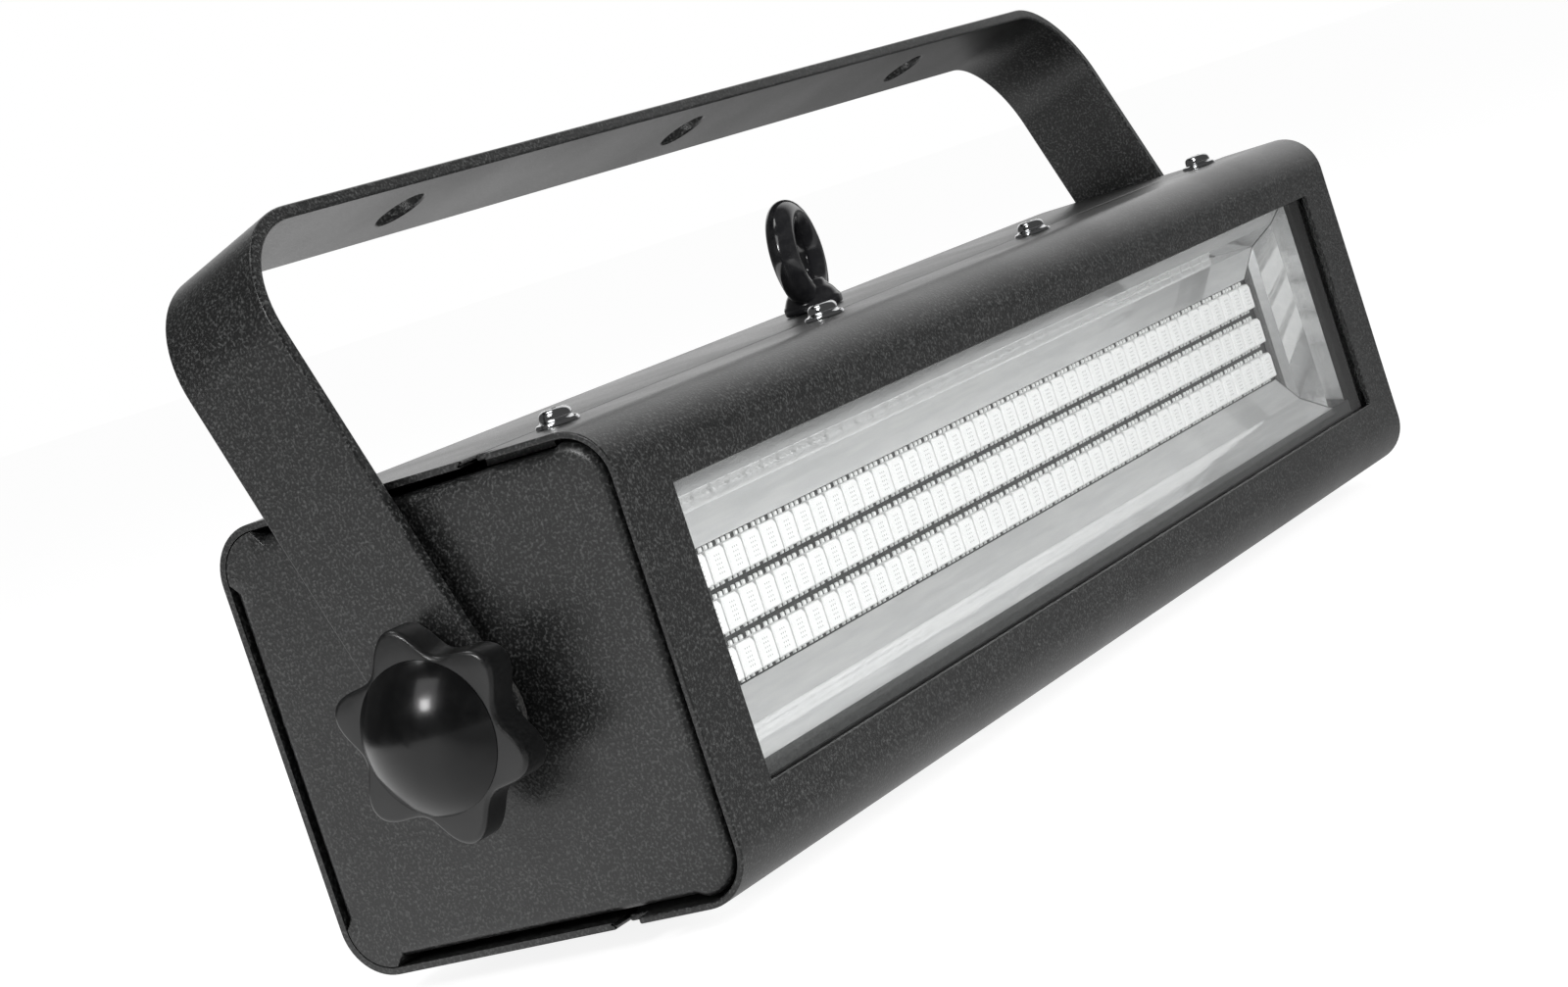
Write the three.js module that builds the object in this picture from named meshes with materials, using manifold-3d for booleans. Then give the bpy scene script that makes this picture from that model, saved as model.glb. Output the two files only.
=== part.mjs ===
// A strobe light: a sheet-steel bar with a field of white light-emitting packages behind a glass window,
// hung in a tilting yoke that two star knobs clamp.
// Millimetres. X runs along the bar, the light leaves towards -Y and Z is up.
// The pieces are built from the middle of the housing's flat underside. The whole is then moved so that
// the origin lies under its middle, at the height of the feet's soles.

import * as THREE from "three";
import { mergeGeometries, mergeVertices } from "three/addons/utils/BufferGeometryUtils.js";
import Module from "manifold-3d";

const wasm = await Module();
wasm.setup();

// Sizes shared by many pieces
const turn = 2 * Math.PI;
const overrun = 2; // how far a cutting shape runs past what it cuts
const mergeDistance = 0.001; // corners closer than this are one corner
const fit = {
  seat: 0.1, // between pieces that rest on each other
  slide: 0.2, // round a piece that slides
  shank: 0.2, // round a screw's shank
};
const facets = { bend: 6, corner: 3, small: 12, round: 24, bore: 16, pin: 8, ringSides: 10, hex: 6, dome: 4 };

// The housing: a front shell, a rear shell and two end plates
const housing = {
  length: 281.6,
  depth: 70,
  height: 68.3,
  sheet: 1,
  bendRadius: 7.8,
  seamFromFront: 23, // where the front shell's flanges end
  seamGap: 0.35,
};
const axisDrop = 0.25; // below the housing's middle
const axisHeight = housing.height / 2 - axisDrop; // of the light field, the sockets and the tilting axis
const front = -housing.depth / 2;
const rear = housing.depth / 2;
const halfLength = housing.length / 2;
const top = housing.height;
const seam = front + housing.seamFromFront;
const rearInside = rear - housing.sheet;
const tongue = { reach: 10.5, drop: 0.15, joggle: 1.2, endInset: 7 };
const cornerNotch = { length: 3, reach: 3.4 };
const endPlate = {
  flange: 6,
  softEdge: 1.5,
  sideSlit: 0.6,
  topSlit: 1.3,
  weldGap: 0.1,
  softSteps: 3,
};
const windowMargin = { side: 13.05, bottom: 13.1, top: 11.9 };
const lightWindow = {
  width: housing.length - 2 * windowMargin.side,
  height: housing.height - windowMargin.bottom - windowMargin.top,
  bottom: windowMargin.bottom,
};
const windowTop = lightWindow.bottom + lightWindow.height;

// The glass, its seal and the light field behind it
const glass = { overlap: 4, thickness: 3 };
const gasket = { thickness: 1, setback: 0.4 };
const ledBoardGap = { side: 2.75, height: 6.65 }; // from the window's edges to the board's
const ledBoard = {
  width: lightWindow.width - 2 * ledBoardGap.side,
  height: lightWindow.height - 2 * ledBoardGap.height,
  thickness: 1.6,
  faceFromFront: 15.5,
};
const led = { side: 5, thickness: 1.6, columnPitch: 5.46, rowPitch: 7.14, sunk: 0.2, edgeX: 4.5, edgeZ: 3 };
const ledColumns = Math.floor((ledBoard.width - 2 * led.edgeX) / led.columnPitch);
const ledRows = Math.floor((ledBoard.height - 2 * led.edgeZ) / led.rowPitch);
const reflector = {
  sheet: 0.5,
  mitreGap: 0.3,
  foot: { inset: 6.55, drop: 11.15 }, // how far inside the window's edges each fold runs
  innerFold: { fromFront: 13.4, inset: 1.45, drop: 5.65 },
  outerFold: { fromFront: 8.5, inset: 0.65, drop: 2.35 },
  rimMargin: 0.5,
};
const chassis = {
  sheet: 1.5,
  edgeGap: 9.15, // to the housing's top and bottom
  legPastPivot: 10.5,
  bendRadius: 2.5,
  cableHole: 4.5,
  cableHoleOffset: 32, // from the power board's connector
};

// Screws that join the shells, four on top and four underneath
const shellScrew = {
  count: 4,
  fromEnd: 17.35,
  fromSeam: 5.1,
  shankRadius: 1.5,
  shankLength: 7,
  flangeRadius: 3.3,
  flangeThickness: 0.8,
  headRadius: 2.45,
  headHeight: 2.7,
  crown: 0.8,
  recessLength: 3,
  recessWidth: 0.7,
  recessDepth: 1.2,
};
const foot = { radius: 5.5, height: 3.7, chamfer: 0.8, fromEnd: 35.8, pastSeam: 6, fromRear: 17 };

// The safety eyebolt on the rear shell's top
const eyebolt = {
  y: 7.3,
  ringRadius: 7.3,
  wireRadius: 2.5,
  ringHeight: 10,
  ringTurn: 12.5, // degrees
  collarRadius: 5.2,
  collarWall: 1.6,
  shoulderRadius: 4.2,
  shoulderHeight: 3.2,
  neckRadius: 3,
  neckHeight: 4.4,
  shankRadius: 2.95,
  shankLength: 8,
  nutFlats: 10,
  nutThickness: 5,
};

// The tilting joint: rivet nut, friction washer, yoke arm, thrust washer and star knob at each end
const pivotY = -0.3;
const stud = { radius: 3, length: 19, sunk: 4.5 };
const rivetNut = {
  flangeRadius: 6.5,
  flange: 1.1,
  shankRadius: 4.5,
  boreRadius: 3.15,
  bulgeRadius: 6,
  bulge: 3.2,
  tail: 4.5,
};
const frictionWasher = { radius: 9.5, boreRadius: 3.4, thickness: 1.1 };
const thrustWasher = { radius: 8.5, boreRadius: 3.3, thickness: 1.2 };
const knob = {
  lobes: 6,
  tipRadius: 15.7,
  valleyRadius: 11.9,
  tipSharpness: 1.1, // 1 is a plain wave
  firstLobe: 25, // degrees from the rear, towards the top
  hubRadius: 8,
  hub: 1.5,
  skirt: 4.5,
  underFillet: 0.6,
  edgeFillet: 0.5,
  domeRadius: 11.6,
  domeHeight: 5,
  domeTipRadius: 1.2,
  pointsPerLobe: 6,
};
const yoke = {
  width: 19.5,
  sheet: 2.1,
  reach: 76.4, // tilting axis to the crossbar's outer face
  bendRadius: 17.5,
  tilt: 17, // degrees towards the rear
  pivotHole: 3.5,
  clampHole: 4.3,
  clampSpacing: 88.5,
};
const nutFlangeTop = fit.seat + rivetNut.flange;
const frictionTop = nutFlangeTop + fit.seat + frictionWasher.thickness;
const armInside = frictionTop + fit.seat;
const armOutside = armInside + yoke.sheet;
const thrustTop = armOutside + fit.seat + thrustWasher.thickness;
const knobBase = thrustTop + fit.seat;

// The rear panel
const post = { radius: 2.5, length: 10, sunk: 0.4 };
const boardSheet = 1.6;
const boardFace = rearInside - post.length; // the boards' faces towards the rear wall
const boardBack = boardFace - fit.seat - boardSheet;
const display = { rise: 8.6, width: 32, height: 13, border: 2, flange: 1.5, blockWidth: 30, blockHeight: 12 };
const displayZ = axisHeight + display.rise;
const button = {
  count: 4,
  pitch: 12,
  drop: 9.9,
  radius: 3,
  collarRadius: 4,
  collar: 1,
  proud: 1.6,
  travel: 0.5,
  fillet: 0.4,
};
const buttonZ = axisHeight - button.drop;
const tactSwitch = { side: 6, height: 3.6, plungerRadius: 1.7, plunger: 1.4 };
const inletFromEnd = 40.8;
const inlet = {
  x: halfLength - inletFromEnd,
  width: 27,
  height: 31,
  depth: 27,
  flangeWidth: 50,
  flangeHeight: 34,
  flange: 2.5,
  flangeCorner: 4,
  socketWidth: 24.4,
  socketHeight: 16.4,
  socketCorner: 5,
  socketDepth: 16,
  socketLift: 5.4,
  pinWidth: 2,
  pinHeight: 4,
  pinLength: 13,
  pinSpacing: 7,
  earthPinLift: 2,
  livePinDrop: 2,
  screwSpacing: 40,
};
const drawer = {
  width: 22.4,
  height: 7.4,
  depth: 17,
  drop: 9.2,
  capWidth: 24.4,
  capHeight: 9,
  cap: 1.8,
  gripDepth: 0.8,
  gripWidth: 12,
  gripHeight: 1.6,
  wall: 1,
};
const fuse = { length: 20, radius: 2.5 };
const dataOutFromEnd = 20.8;
const dataSocketPitch = 30;
const dataSocket = {
  inX: dataOutFromEnd + dataSocketPitch - halfLength,
  outX: dataOutFromEnd - halfLength,
  flangeWidth: 26,
  flangeHeight: 31,
  flangeCorner: 3,
  flange: 2,
  radius: 11.8,
  depth: 22,
  cavityRadius: 9.4,
  cavityDepth: 13,
  insertRadius: 7.2,
  insertSink: 1,
  pinCircle: 4.6,
  pinRadius: 1.2,
  pinLength: 10.5,
  holeRadius: 1.5,
  holeDepth: 9,
  screwX: 9.5,
  screwZ: 12,
};
const controlBoardSize = { width: 64, gapToSocket: 3, edgeGap: 12.15 };
const controlBoard = {
  x: dataSocket.inX + (dataSocket.flangeWidth + controlBoardSize.width) / 2 + controlBoardSize.gapToSocket,
  width: controlBoardSize.width,
  height: housing.height - 2 * controlBoardSize.edgeGap,
  postInset: 3.5,
};
const powerBoardGap = { control: 6, inlet: 6.5, edge: 10.15 };
const powerBoardLeft = controlBoard.x + controlBoard.width / 2 + powerBoardGap.control;
const powerBoardRight = inlet.x - inlet.width / 2 - powerBoardGap.inlet;
const powerBoard = {
  x: (powerBoardLeft + powerBoardRight) / 2,
  width: powerBoardRight - powerBoardLeft,
  height: housing.height - 2 * powerBoardGap.edge,
  postInset: 4,
};
const connector = { xShare: 0.357, widthShare: 0.143, height: 9, reach: 10 };
const mainsConnectorX = powerBoard.x + connector.xShare * powerBoard.width;
const ledConnectorX = powerBoard.x - connector.xShare * powerBoard.width;
const boardParts = {
  transformer: { xShare: 0.1, rise: 4, widthShare: 0.285, height: 26, reach: 22 },
  heatSink: { xShare: -0.19, rise: 12, widthShare: 0.24, height: 8, reach: 18 },
  filter: { xShare: 0.32, rise: -14, widthShare: 0.165, height: 12, reach: 14 },
  capacitor: { xShare: -0.12, rise: -10, radius: 7, reach: 24 },
};
const latch = { width: 7, height: 2.6, lift: 13.4, travel: 0.8, proud: 1.5 };
const panelScrew = {
  shankRadius: 1.4,
  shankLength: 6,
  headRadius: 2.7,
  headHeight: 1.6,
  slot: 0.6,
  slotDepth: 0.7,
};
const lead = { mainsRadius: 2.6, ledRadius: 1.6, sides: 8, steps: 12, clear: 0.3 };
const ribbon = { width: 10, thickness: 1.2, drop: 8 };

// Geometry helpers

const frames = {
  x: new THREE.Matrix4().makeBasis(axis(0, 1, 0), axis(0, 0, 1), axis(1, 0, 0)),
  y: new THREE.Matrix4().makeBasis(axis(1, 0, 0), axis(0, 0, 1), axis(0, -1, 0)),
  z: new THREE.Matrix4(),
};

function axis(x, y, z) {
  return new THREE.Vector3(x, y, z);
}

function radians(degrees) {
  return THREE.MathUtils.degToRad(degrees);
}

// Merges shared corners, drops faces with no area and turns the faces outwards.
function closed(geometry) {
  const bare = geometry.clone();
  bare.deleteAttribute("normal");
  bare.deleteAttribute("uv");
  const merged = mergeVertices(bare, mergeDistance);
  const corners = merged.getAttribute("position");
  const [a, b, c] = [axis(0, 0, 0), axis(0, 0, 0), axis(0, 0, 0)];
  const faces = [];
  let volume = 0;
  for (let i = 0; i < merged.index.count; i += 3) {
    const [p, q, r] = [merged.index.getX(i), merged.index.getX(i + 1), merged.index.getX(i + 2)];
    if (p === q || q === r || r === p) continue;
    faces.push(p, q, r);
    a.fromBufferAttribute(corners, p);
    b.fromBufferAttribute(corners, q);
    c.fromBufferAttribute(corners, r);
    volume += a.dot(b.cross(c));
  }
  merged.setIndex(volume < 0 ? faces.reverse() : faces);
  merged.computeVertexNormals();
  return merged;
}

function solidOf(geometry) {
  const ready = closed(geometry);
  return new wasm.Manifold(
    new wasm.Mesh({
      numProp: 3,
      vertProperties: new Float32Array(ready.getAttribute("position").array),
      triVerts: new Uint32Array(ready.index.array),
    }),
  );
}

function geometryOf(solid) {
  const mesh = solid.getMesh();
  const geometry = new THREE.BufferGeometry();
  const corners = new Float32Array(mesh.vertProperties);
  geometry.setAttribute("position", new THREE.BufferAttribute(corners, mesh.numProp));
  geometry.setIndex(new THREE.BufferAttribute(new Uint32Array(mesh.triVerts), 1));
  geometry.computeVertexNormals();
  return geometry;
}

function cut(body, ...tools) {
  return geometryOf(tools.reduce((left, tool) => left.subtract(solidOf(tool)), solidOf(body)));
}

function join(...bodies) {
  return geometryOf(bodies.map(solidOf).reduce((whole, next) => whole.add(next)));
}

function block(x, y, z) {
  const box = new THREE.BoxGeometry(x[1] - x[0], y[1] - y[0], z[1] - z[0]);
  return box.translate((x[0] + x[1]) / 2, (y[0] + y[1]) / 2, (z[0] + z[1]) / 2);
}

function about(middle, size) {
  return [middle - size / 2, middle + size / 2];
}

// A round bar along one axis. The two place values are the other axes in X, Y, Z order.
function rod(along, radius, from, to, placeA, placeB, sides) {
  const bar = new THREE.CylinderGeometry(radius, radius, to - from, sides);
  const middle = (from + to) / 2;
  if (along === "x") return bar.rotateZ(-turn / 4).translate(middle, placeA, placeB);
  if (along === "y") return bar.translate(placeA, middle, placeB);
  return bar.rotateX(turn / 4).translate(placeA, placeB, middle);
}

// A turned piece whose profile runs in steps of [radius, height along the axis].
function turned(along, profile, sides) {
  const points = profile.map(([radius, height]) => new THREE.Vector2(radius, height));
  const body = new THREE.LatheGeometry(points, sides);
  if (along === "x") return body.rotateZ(-turn / 4);
  if (along === "z") return body.rotateX(turn / 4);
  return body;
}

function arc(u, v, radius, fromShare, toShare, steps) {
  return Array.from({ length: steps + 1 }, (_, i) => {
    const angle = turn * (fromShare + ((toShare - fromShare) * i) / steps);
    return new THREE.Vector2(u + radius * Math.cos(angle), v + radius * Math.sin(angle));
  });
}

function at(u, v) {
  return new THREE.Vector2(u, v);
}

function roundedOutline(u, v, width, height, radius) {
  const [right, high] = [width / 2 - radius, height / 2 - radius];
  return [
    ...arc(u + right, v + high, radius, 0, 0.25, facets.corner),
    ...arc(u - right, v + high, radius, 0.25, 0.5, facets.corner),
    ...arc(u - right, v - high, radius, 0.5, 0.75, facets.corner),
    ...arc(u + right, v - high, radius, 0.75, 1, facets.corner),
  ];
}

// A flat outline pushed along one axis, from one place to another.
// The outline lies in Y, Z for x, in X, Z for y and in X, Y for z.
function prism(along, outline, from, to) {
  const body = new THREE.ExtrudeGeometry(new THREE.Shape(outline), { depth: to - from, bevelEnabled: false });
  const start = along === "y" ? -to : from;
  return body.translate(0, 0, start).applyMatrix4(frames[along]);
}

// A skin over rings of equally many [u, v, w] points, closed by a cap at each end.
function loft(sections) {
  const clockwise = THREE.ShapeUtils.isClockWise(sections[0].map(([u, v]) => at(u, v)));
  const rings = sections.map((ring) => (clockwise ? [...ring].reverse() : ring));
  const count = rings[0].length;
  const faces = [];
  for (let ring = 0; ring < rings.length - 1; ring += 1) {
    for (let i = 0; i < count; i += 1) {
      const [here, next] = [ring * count + i, ring * count + ((i + 1) % count)];
      faces.push(here, next, next + count, here, next + count, here + count);
    }
  }
  const capOf = (ring) =>
    THREE.ShapeUtils.triangulateShape(
      ring.map(([u, v]) => at(u, v)),
      [],
    );
  const last = (rings.length - 1) * count;
  capOf(rings[0]).forEach(([a, b, c]) => faces.push(c, b, a));
  capOf(rings[rings.length - 1]).forEach(([a, b, c]) => faces.push(a + last, b + last, c + last));
  const body = new THREE.BufferGeometry();
  body.setAttribute("position", new THREE.Float32BufferAttribute(rings.flat(2), 3));
  body.setIndex(faces);
  return closed(body);
}

function part(name, geometry, finish) {
  const mesh = new THREE.Mesh(closed(geometry), new THREE.MeshStandardMaterial({ name, ...finish }));
  mesh.name = name;
  return mesh;
}

const finishes = {
  powderBlack: { color: 0x2e2f2f, roughness: 0.62, metalness: 0.15 },
  glossBlack: { color: 0x101112, roughness: 0.18, metalness: 0 },
  mattBlack: { color: 0x141414, roughness: 0.8, metalness: 0 },
  rubber: { color: 0x1a1a1a, roughness: 0.9, metalness: 0 },
  chrome: { color: 0xd8dadc, roughness: 0.12, metalness: 1 },
  zinc: { color: 0xb9bbbd, roughness: 0.35, metalness: 1 },
  aluminium: { color: 0xa9acae, roughness: 0.45, metalness: 1 },
  mirror: { color: 0xe6e8ea, roughness: 0.06, metalness: 1 },
  clearGlass: { color: 0xf2f7f6, roughness: 0.03, metalness: 0, transparent: true, opacity: 0.25 },
  smokedWindow: { color: 0x2a0d0d, roughness: 0.1, metalness: 0, transparent: true, opacity: 0.6 },
  ledBoard: { color: 0xf1f2f0, roughness: 0.4, metalness: 0 },
  circuitBoard: { color: 0x1f5a37, roughness: 0.5, metalness: 0 },
  cable: { color: 0x1c1c1e, roughness: 0.6, metalness: 0 },
};

// Places that several pieces share

const shellScrewY = seam - shellScrew.fromSeam;
const shellScrewSpacing = (housing.length - 2 * shellScrew.fromEnd) / (shellScrew.count - 1);
const shellScrewX = Array.from(
  { length: shellScrew.count },
  (_, i) => (i - (shellScrew.count - 1) / 2) * shellScrewSpacing,
);
const shellScrewHoles = shellScrewX.map((x) =>
  rod("z", shellScrew.shankRadius + fit.shank, -overrun, top + overrun, x, shellScrewY, facets.small),
);
const buttonX = Array.from(
  { length: button.count },
  (_, i) => controlBoard.x + (i - (button.count - 1) / 2) * button.pitch,
);
const inletScrewX = [inlet.x - inlet.screwSpacing / 2, inlet.x + inlet.screwSpacing / 2];
const dataScrews = [
  [dataSocket.screwX, dataSocket.screwZ],
  [-dataSocket.screwX, -dataSocket.screwZ],
];

// The four corners of a board at which it is fixed
function postPlaces(board) {
  const [reachX, reachZ] = [board.width / 2 - board.postInset, board.height / 2 - board.postInset];
  return [
    [board.x - reachX, axisHeight - reachZ],
    [board.x + reachX, axisHeight - reachZ],
    [board.x - reachX, axisHeight + reachZ],
    [board.x + reachX, axisHeight + reachZ],
  ];
}

// Housing pieces

function frontShell() {
  const { sheet, bendRadius: bend } = housing;
  const inner = bend - sheet;
  const section = [
    at(seam, 0),
    ...arc(front + bend, bend, bend, 0.75, 0.5, facets.bend),
    ...arc(front + bend, top - bend, bend, 0.5, 0.25, facets.bend),
    at(seam, top),
    at(seam, top - sheet),
    ...arc(front + bend, top - bend, inner, 0.25, 0.5, facets.bend),
    ...arc(front + bend, bend, inner, 0.5, 0.75, facets.bend),
    at(seam, sheet),
  ];
  const opening = block(
    about(0, lightWindow.width),
    [front - overrun, front + sheet + overrun],
    [lightWindow.bottom, windowTop],
  );
  const notches = [-1, 1].map((side) =>
    block(
      about(side * halfLength, 2 * cornerNotch.length),
      [seam - cornerNotch.reach, seam + overrun],
      [-overrun, top + overrun],
    ),
  );
  return cut(prism("x", section, -halfLength, halfLength), opening, ...notches, ...shellScrewHoles);
}

function rearShellSection() {
  const { sheet, bendRadius: bend, seamGap } = housing;
  const inner = bend - sheet;
  const edge = seam + seamGap;
  const tip = seam - tongue.reach;
  const tongueOut = sheet + tongue.drop;
  const tongueIn = tongueOut + sheet;
  return [
    at(edge, top),
    ...arc(rear - bend, top - bend, bend, 0.25, 0, facets.bend),
    ...arc(rear - bend, bend, bend, 1, 0.75, facets.bend),
    at(edge, 0),
    at(edge, tongueOut),
    at(tip, tongueOut),
    at(tip, tongueIn),
    at(edge + tongue.joggle, tongueIn),
    at(edge + tongue.joggle, sheet),
    ...arc(rear - bend, bend, inner, 0.75, 1, facets.bend),
    ...arc(rear - bend, top - bend, inner, 0, 0.25, facets.bend),
    at(edge + tongue.joggle, top - sheet),
    at(edge + tongue.joggle, top - tongueIn),
    at(tip, top - tongueIn),
    at(tip, top - tongueOut),
    at(edge, top - tongueOut),
  ];
}

function rearShell() {
  const { sheet } = housing;
  const wall = [rearInside - overrun, rear + overrun];
  const joggleEnd = seam + housing.seamGap + tongue.joggle;
  const tongueEnds = [-1, 1].map((side) =>
    block(
      about(side * halfLength, 2 * tongue.endInset),
      [seam - tongue.reach - overrun, seam + housing.seamGap],
      [-overrun, top + overrun],
    ),
  );
  const joggleEnds = [-1, 1].map((side) =>
    block(
      about(side * halfLength, 2 * tongue.endInset),
      [seam, joggleEnd + overrun],
      [sheet, top - sheet],
    ),
  );
  const posts = [...postPlaces(powerBoard), ...postPlaces(controlBoard)].map(([x, z]) =>
    rod("y", post.radius, boardFace, rearInside + post.sunk, x, z, facets.small),
  );
  const socketHoles = [dataSocket.inX, dataSocket.outX].map((x) =>
    rod("y", dataSocket.radius + fit.slide, ...wall, x, axisHeight, facets.round),
  );
  const socketScrewHoles = [dataSocket.inX, dataSocket.outX].flatMap((x) =>
    dataScrews.map(([dx, dz]) =>
      rod("y", panelScrew.shankRadius + fit.shank, ...wall, x + dx, axisHeight + dz, facets.small),
    ),
  );
  const inletHoles = [
    block(about(inlet.x, inlet.width + 2 * fit.slide), wall, about(axisHeight, inlet.height + 2 * fit.slide)),
    ...inletScrewX.map((x) =>
      rod("y", panelScrew.shankRadius + fit.shank, ...wall, x, axisHeight, facets.small),
    ),
  ];
  const displayHole = block(about(controlBoard.x, display.width), wall, about(displayZ, display.height));
  const buttonHoles = buttonX.map((x) =>
    rod("y", button.radius + fit.slide, ...wall, x, buttonZ, facets.bore),
  );
  const eyeHole = rod(
    "z",
    eyebolt.shankRadius + fit.shank,
    top - sheet - overrun,
    top + overrun,
    0,
    eyebolt.y,
    facets.small,
  );
  const channel = prism("x", rearShellSection(), -halfLength, halfLength);
  const bare = cut(
    channel,
    ...tongueEnds,
    ...joggleEnds,
    ...shellScrewHoles,
    ...socketHoles,
    ...socketScrewHoles,
    ...inletHoles,
    displayHole,
    ...buttonHoles,
    eyeHole,
  );
  return join(bare, ...posts);
}

// The end plate's outline inside the shells. Round the front corners it follows the bend at the side slit;
// at the rear corners it comes up to the bend, where it is welded.
function endPlateOutline(inset) {
  const { sheet, bendRadius: bend } = housing;
  const { sideSlit, topSlit, weldGap } = endPlate;
  const step = topSlit - sideSlit;
  const low = sheet + topSlit + inset;
  const high = top - low;
  const ahead = front + sheet + sideSlit + inset;
  const behind = rearInside - sideSlit - inset;
  const frontBend = bend - sheet - sideSlit - inset;
  const rearBend = bend - sheet - weldGap - inset;
  return [
    at(ahead, bend),
    ...arc(front + bend, bend, frontBend, 0.5, 0.75, facets.bend).slice(1),
    at(front + bend + step, low),
    at(rear - bend - step, low),
    ...arc(rear - bend, bend, rearBend, 0.75, 1, facets.bend),
    at(behind, bend + step),
    at(behind, top - bend - step),
    ...arc(rear - bend, top - bend, rearBend, 0, 0.25, facets.bend),
    at(rear - bend - step, high),
    at(front + bend + step, high),
    ...arc(front + bend, top - bend, frontBend, 0.25, 0.5, facets.bend),
  ];
}

// side is 1 for the right end and -1 for the left end.
function endPlateTray(side) {
  const { softEdge, softSteps, flange } = endPlate;
  const ringAt = (inset, depth) =>
    endPlateOutline(inset).map((point) => [point.x, point.y, side * (halfLength - depth)]);
  const rings = [ringAt(0, flange)];
  for (let i = 0; i <= softSteps; i += 1) {
    const angle = (turn / 4) * (i / softSteps);
    rings.push(ringAt(softEdge * (1 - Math.cos(angle)), softEdge * (1 - Math.sin(angle))));
  }
  const shell = loft(rings).applyMatrix4(frames.x);
  const [deep, shallow] = [side * (halfLength - flange - overrun), side * (halfLength - housing.sheet)];
  const [from, to] = side > 0 ? [deep, shallow] : [shallow, deep];
  const hollowWidth = housing.depth - 2 * (2 * housing.sheet + endPlate.sideSlit);
  const hollowHeight = top - 2 * (2 * housing.sheet + endPlate.topSlit);
  const hollowBend = housing.bendRadius - 2 * housing.sheet - endPlate.sideSlit;
  const hollow = prism("x", roundedOutline(0, top / 2, hollowWidth, hollowHeight, hollowBend), from, to);
  const pivotHole = rod(
    "x",
    rivetNut.shankRadius + fit.shank,
    side * halfLength - flange,
    side * halfLength + flange,
    pivotY,
    axisHeight,
    facets.bore,
  );
  return cut(shell, hollow, pivotHole);
}

// Window, seal and reflector

const glassBack = front + housing.sheet + fit.seat + glass.thickness;
const gasketBack = glassBack + fit.seat + gasket.thickness;

function glassPane() {
  return block(
    about(0, lightWindow.width + 2 * glass.overlap),
    [front + housing.sheet + fit.seat, glassBack],
    [lightWindow.bottom - glass.overlap, windowTop + glass.overlap],
  );
}

function windowGasket() {
  const depth = [glassBack + fit.seat, gasketBack];
  const hole = [depth[0] - overrun, depth[1] + overrun];
  const frame = block(
    about(0, lightWindow.width + 2 * glass.overlap),
    depth,
    [lightWindow.bottom - glass.overlap, windowTop + glass.overlap],
  );
  const opening = block(
    about(0, lightWindow.width + 2 * gasket.setback),
    hole,
    [lightWindow.bottom - gasket.setback, windowTop + gasket.setback],
  );
  return cut(frame, opening);
}

// The reflector's folds, from the board to the window: depth, half width, lowest and highest edge.
function reflectorFolds() {
  const lean = reflector.sheet / Math.SQRT2;
  const { foot, innerFold, outerFold, rimMargin } = reflector;
  const foldAt = (fromFront, { inset, drop }) => ({
    y: front + fromFront,
    side: lightWindow.width / 2 - inset,
    low: axisHeight - lightWindow.height / 2 + drop,
    high: axisHeight + lightWindow.height / 2 - drop,
  });
  const folds = [
    foldAt(ledBoard.faceFromFront - fit.seat - lean, foot),
    foldAt(innerFold.fromFront, innerFold),
    foldAt(outerFold.fromFront, outerFold),
    {
      y: gasketBack + fit.seat,
      side: lightWindow.width / 2 + rimMargin,
      low: lightWindow.bottom - rimMargin,
      high: windowTop + rimMargin,
    },
  ];
  return { lean, folds };
}

// One long strip above or below the light field. upward is 1 for the upper strip and -1 for the lower one.
// Each ring is the sheet's cut at one fold, so the mitred ends lie in flat faces.
function reflectorStrip(upward) {
  const { lean, folds } = reflectorFolds();
  const gap = reflector.mitreGap / 2;
  const rings = folds.map((fold) => {
    const height = upward > 0 ? fold.high : fold.low;
    const reach = fold.side - gap;
    return [
      [-reach, fold.y, height],
      [reach, fold.y, height],
      [reach + lean, fold.y + lean, height + upward * lean],
      [-reach - lean, fold.y + lean, height + upward * lean],
    ];
  });
  return loft(rings);
}

// One short strip at an end of the light field. side is 1 for the right end and -1 for the left end.
function reflectorEnd(side) {
  const { lean, folds } = reflectorFolds();
  const gap = reflector.mitreGap / 2;
  const rings = folds.map((fold) => [
    [fold.y, fold.low + gap, side * fold.side],
    [fold.y, fold.high - gap, side * fold.side],
    [fold.y + lean, fold.high + lean - gap, side * (fold.side + lean)],
    [fold.y + lean, fold.low - lean + gap, side * (fold.side + lean)],
  ]);
  return loft(rings).applyMatrix4(frames.x);
}

// Light field

function ledBoardWithPackages() {
  const face = front + ledBoard.faceFromFront;
  const board = block(
    about(0, ledBoard.width),
    [face, face + ledBoard.thickness],
    about(axisHeight, ledBoard.height),
  );
  const packages = [];
  for (let row = 0; row < ledRows; row += 1) {
    for (let column = 0; column < ledColumns; column += 1) {
      const x = (column - (ledColumns - 1) / 2) * led.columnPitch;
      const z = axisHeight + (row - (ledRows - 1) / 2) * led.rowPitch;
      packages.push(block(about(x, led.side), [face - led.thickness, face + led.sunk], about(z, led.side)));
    }
  }
  return join(board, mergeGeometries(packages));
}

// The aluminium plate that carries the board, with a leg against each end plate
const chassisFace = front + ledBoard.faceFromFront + ledBoard.thickness + fit.seat;
const cableHoleX = ledConnectorX - chassis.cableHoleOffset;

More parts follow.
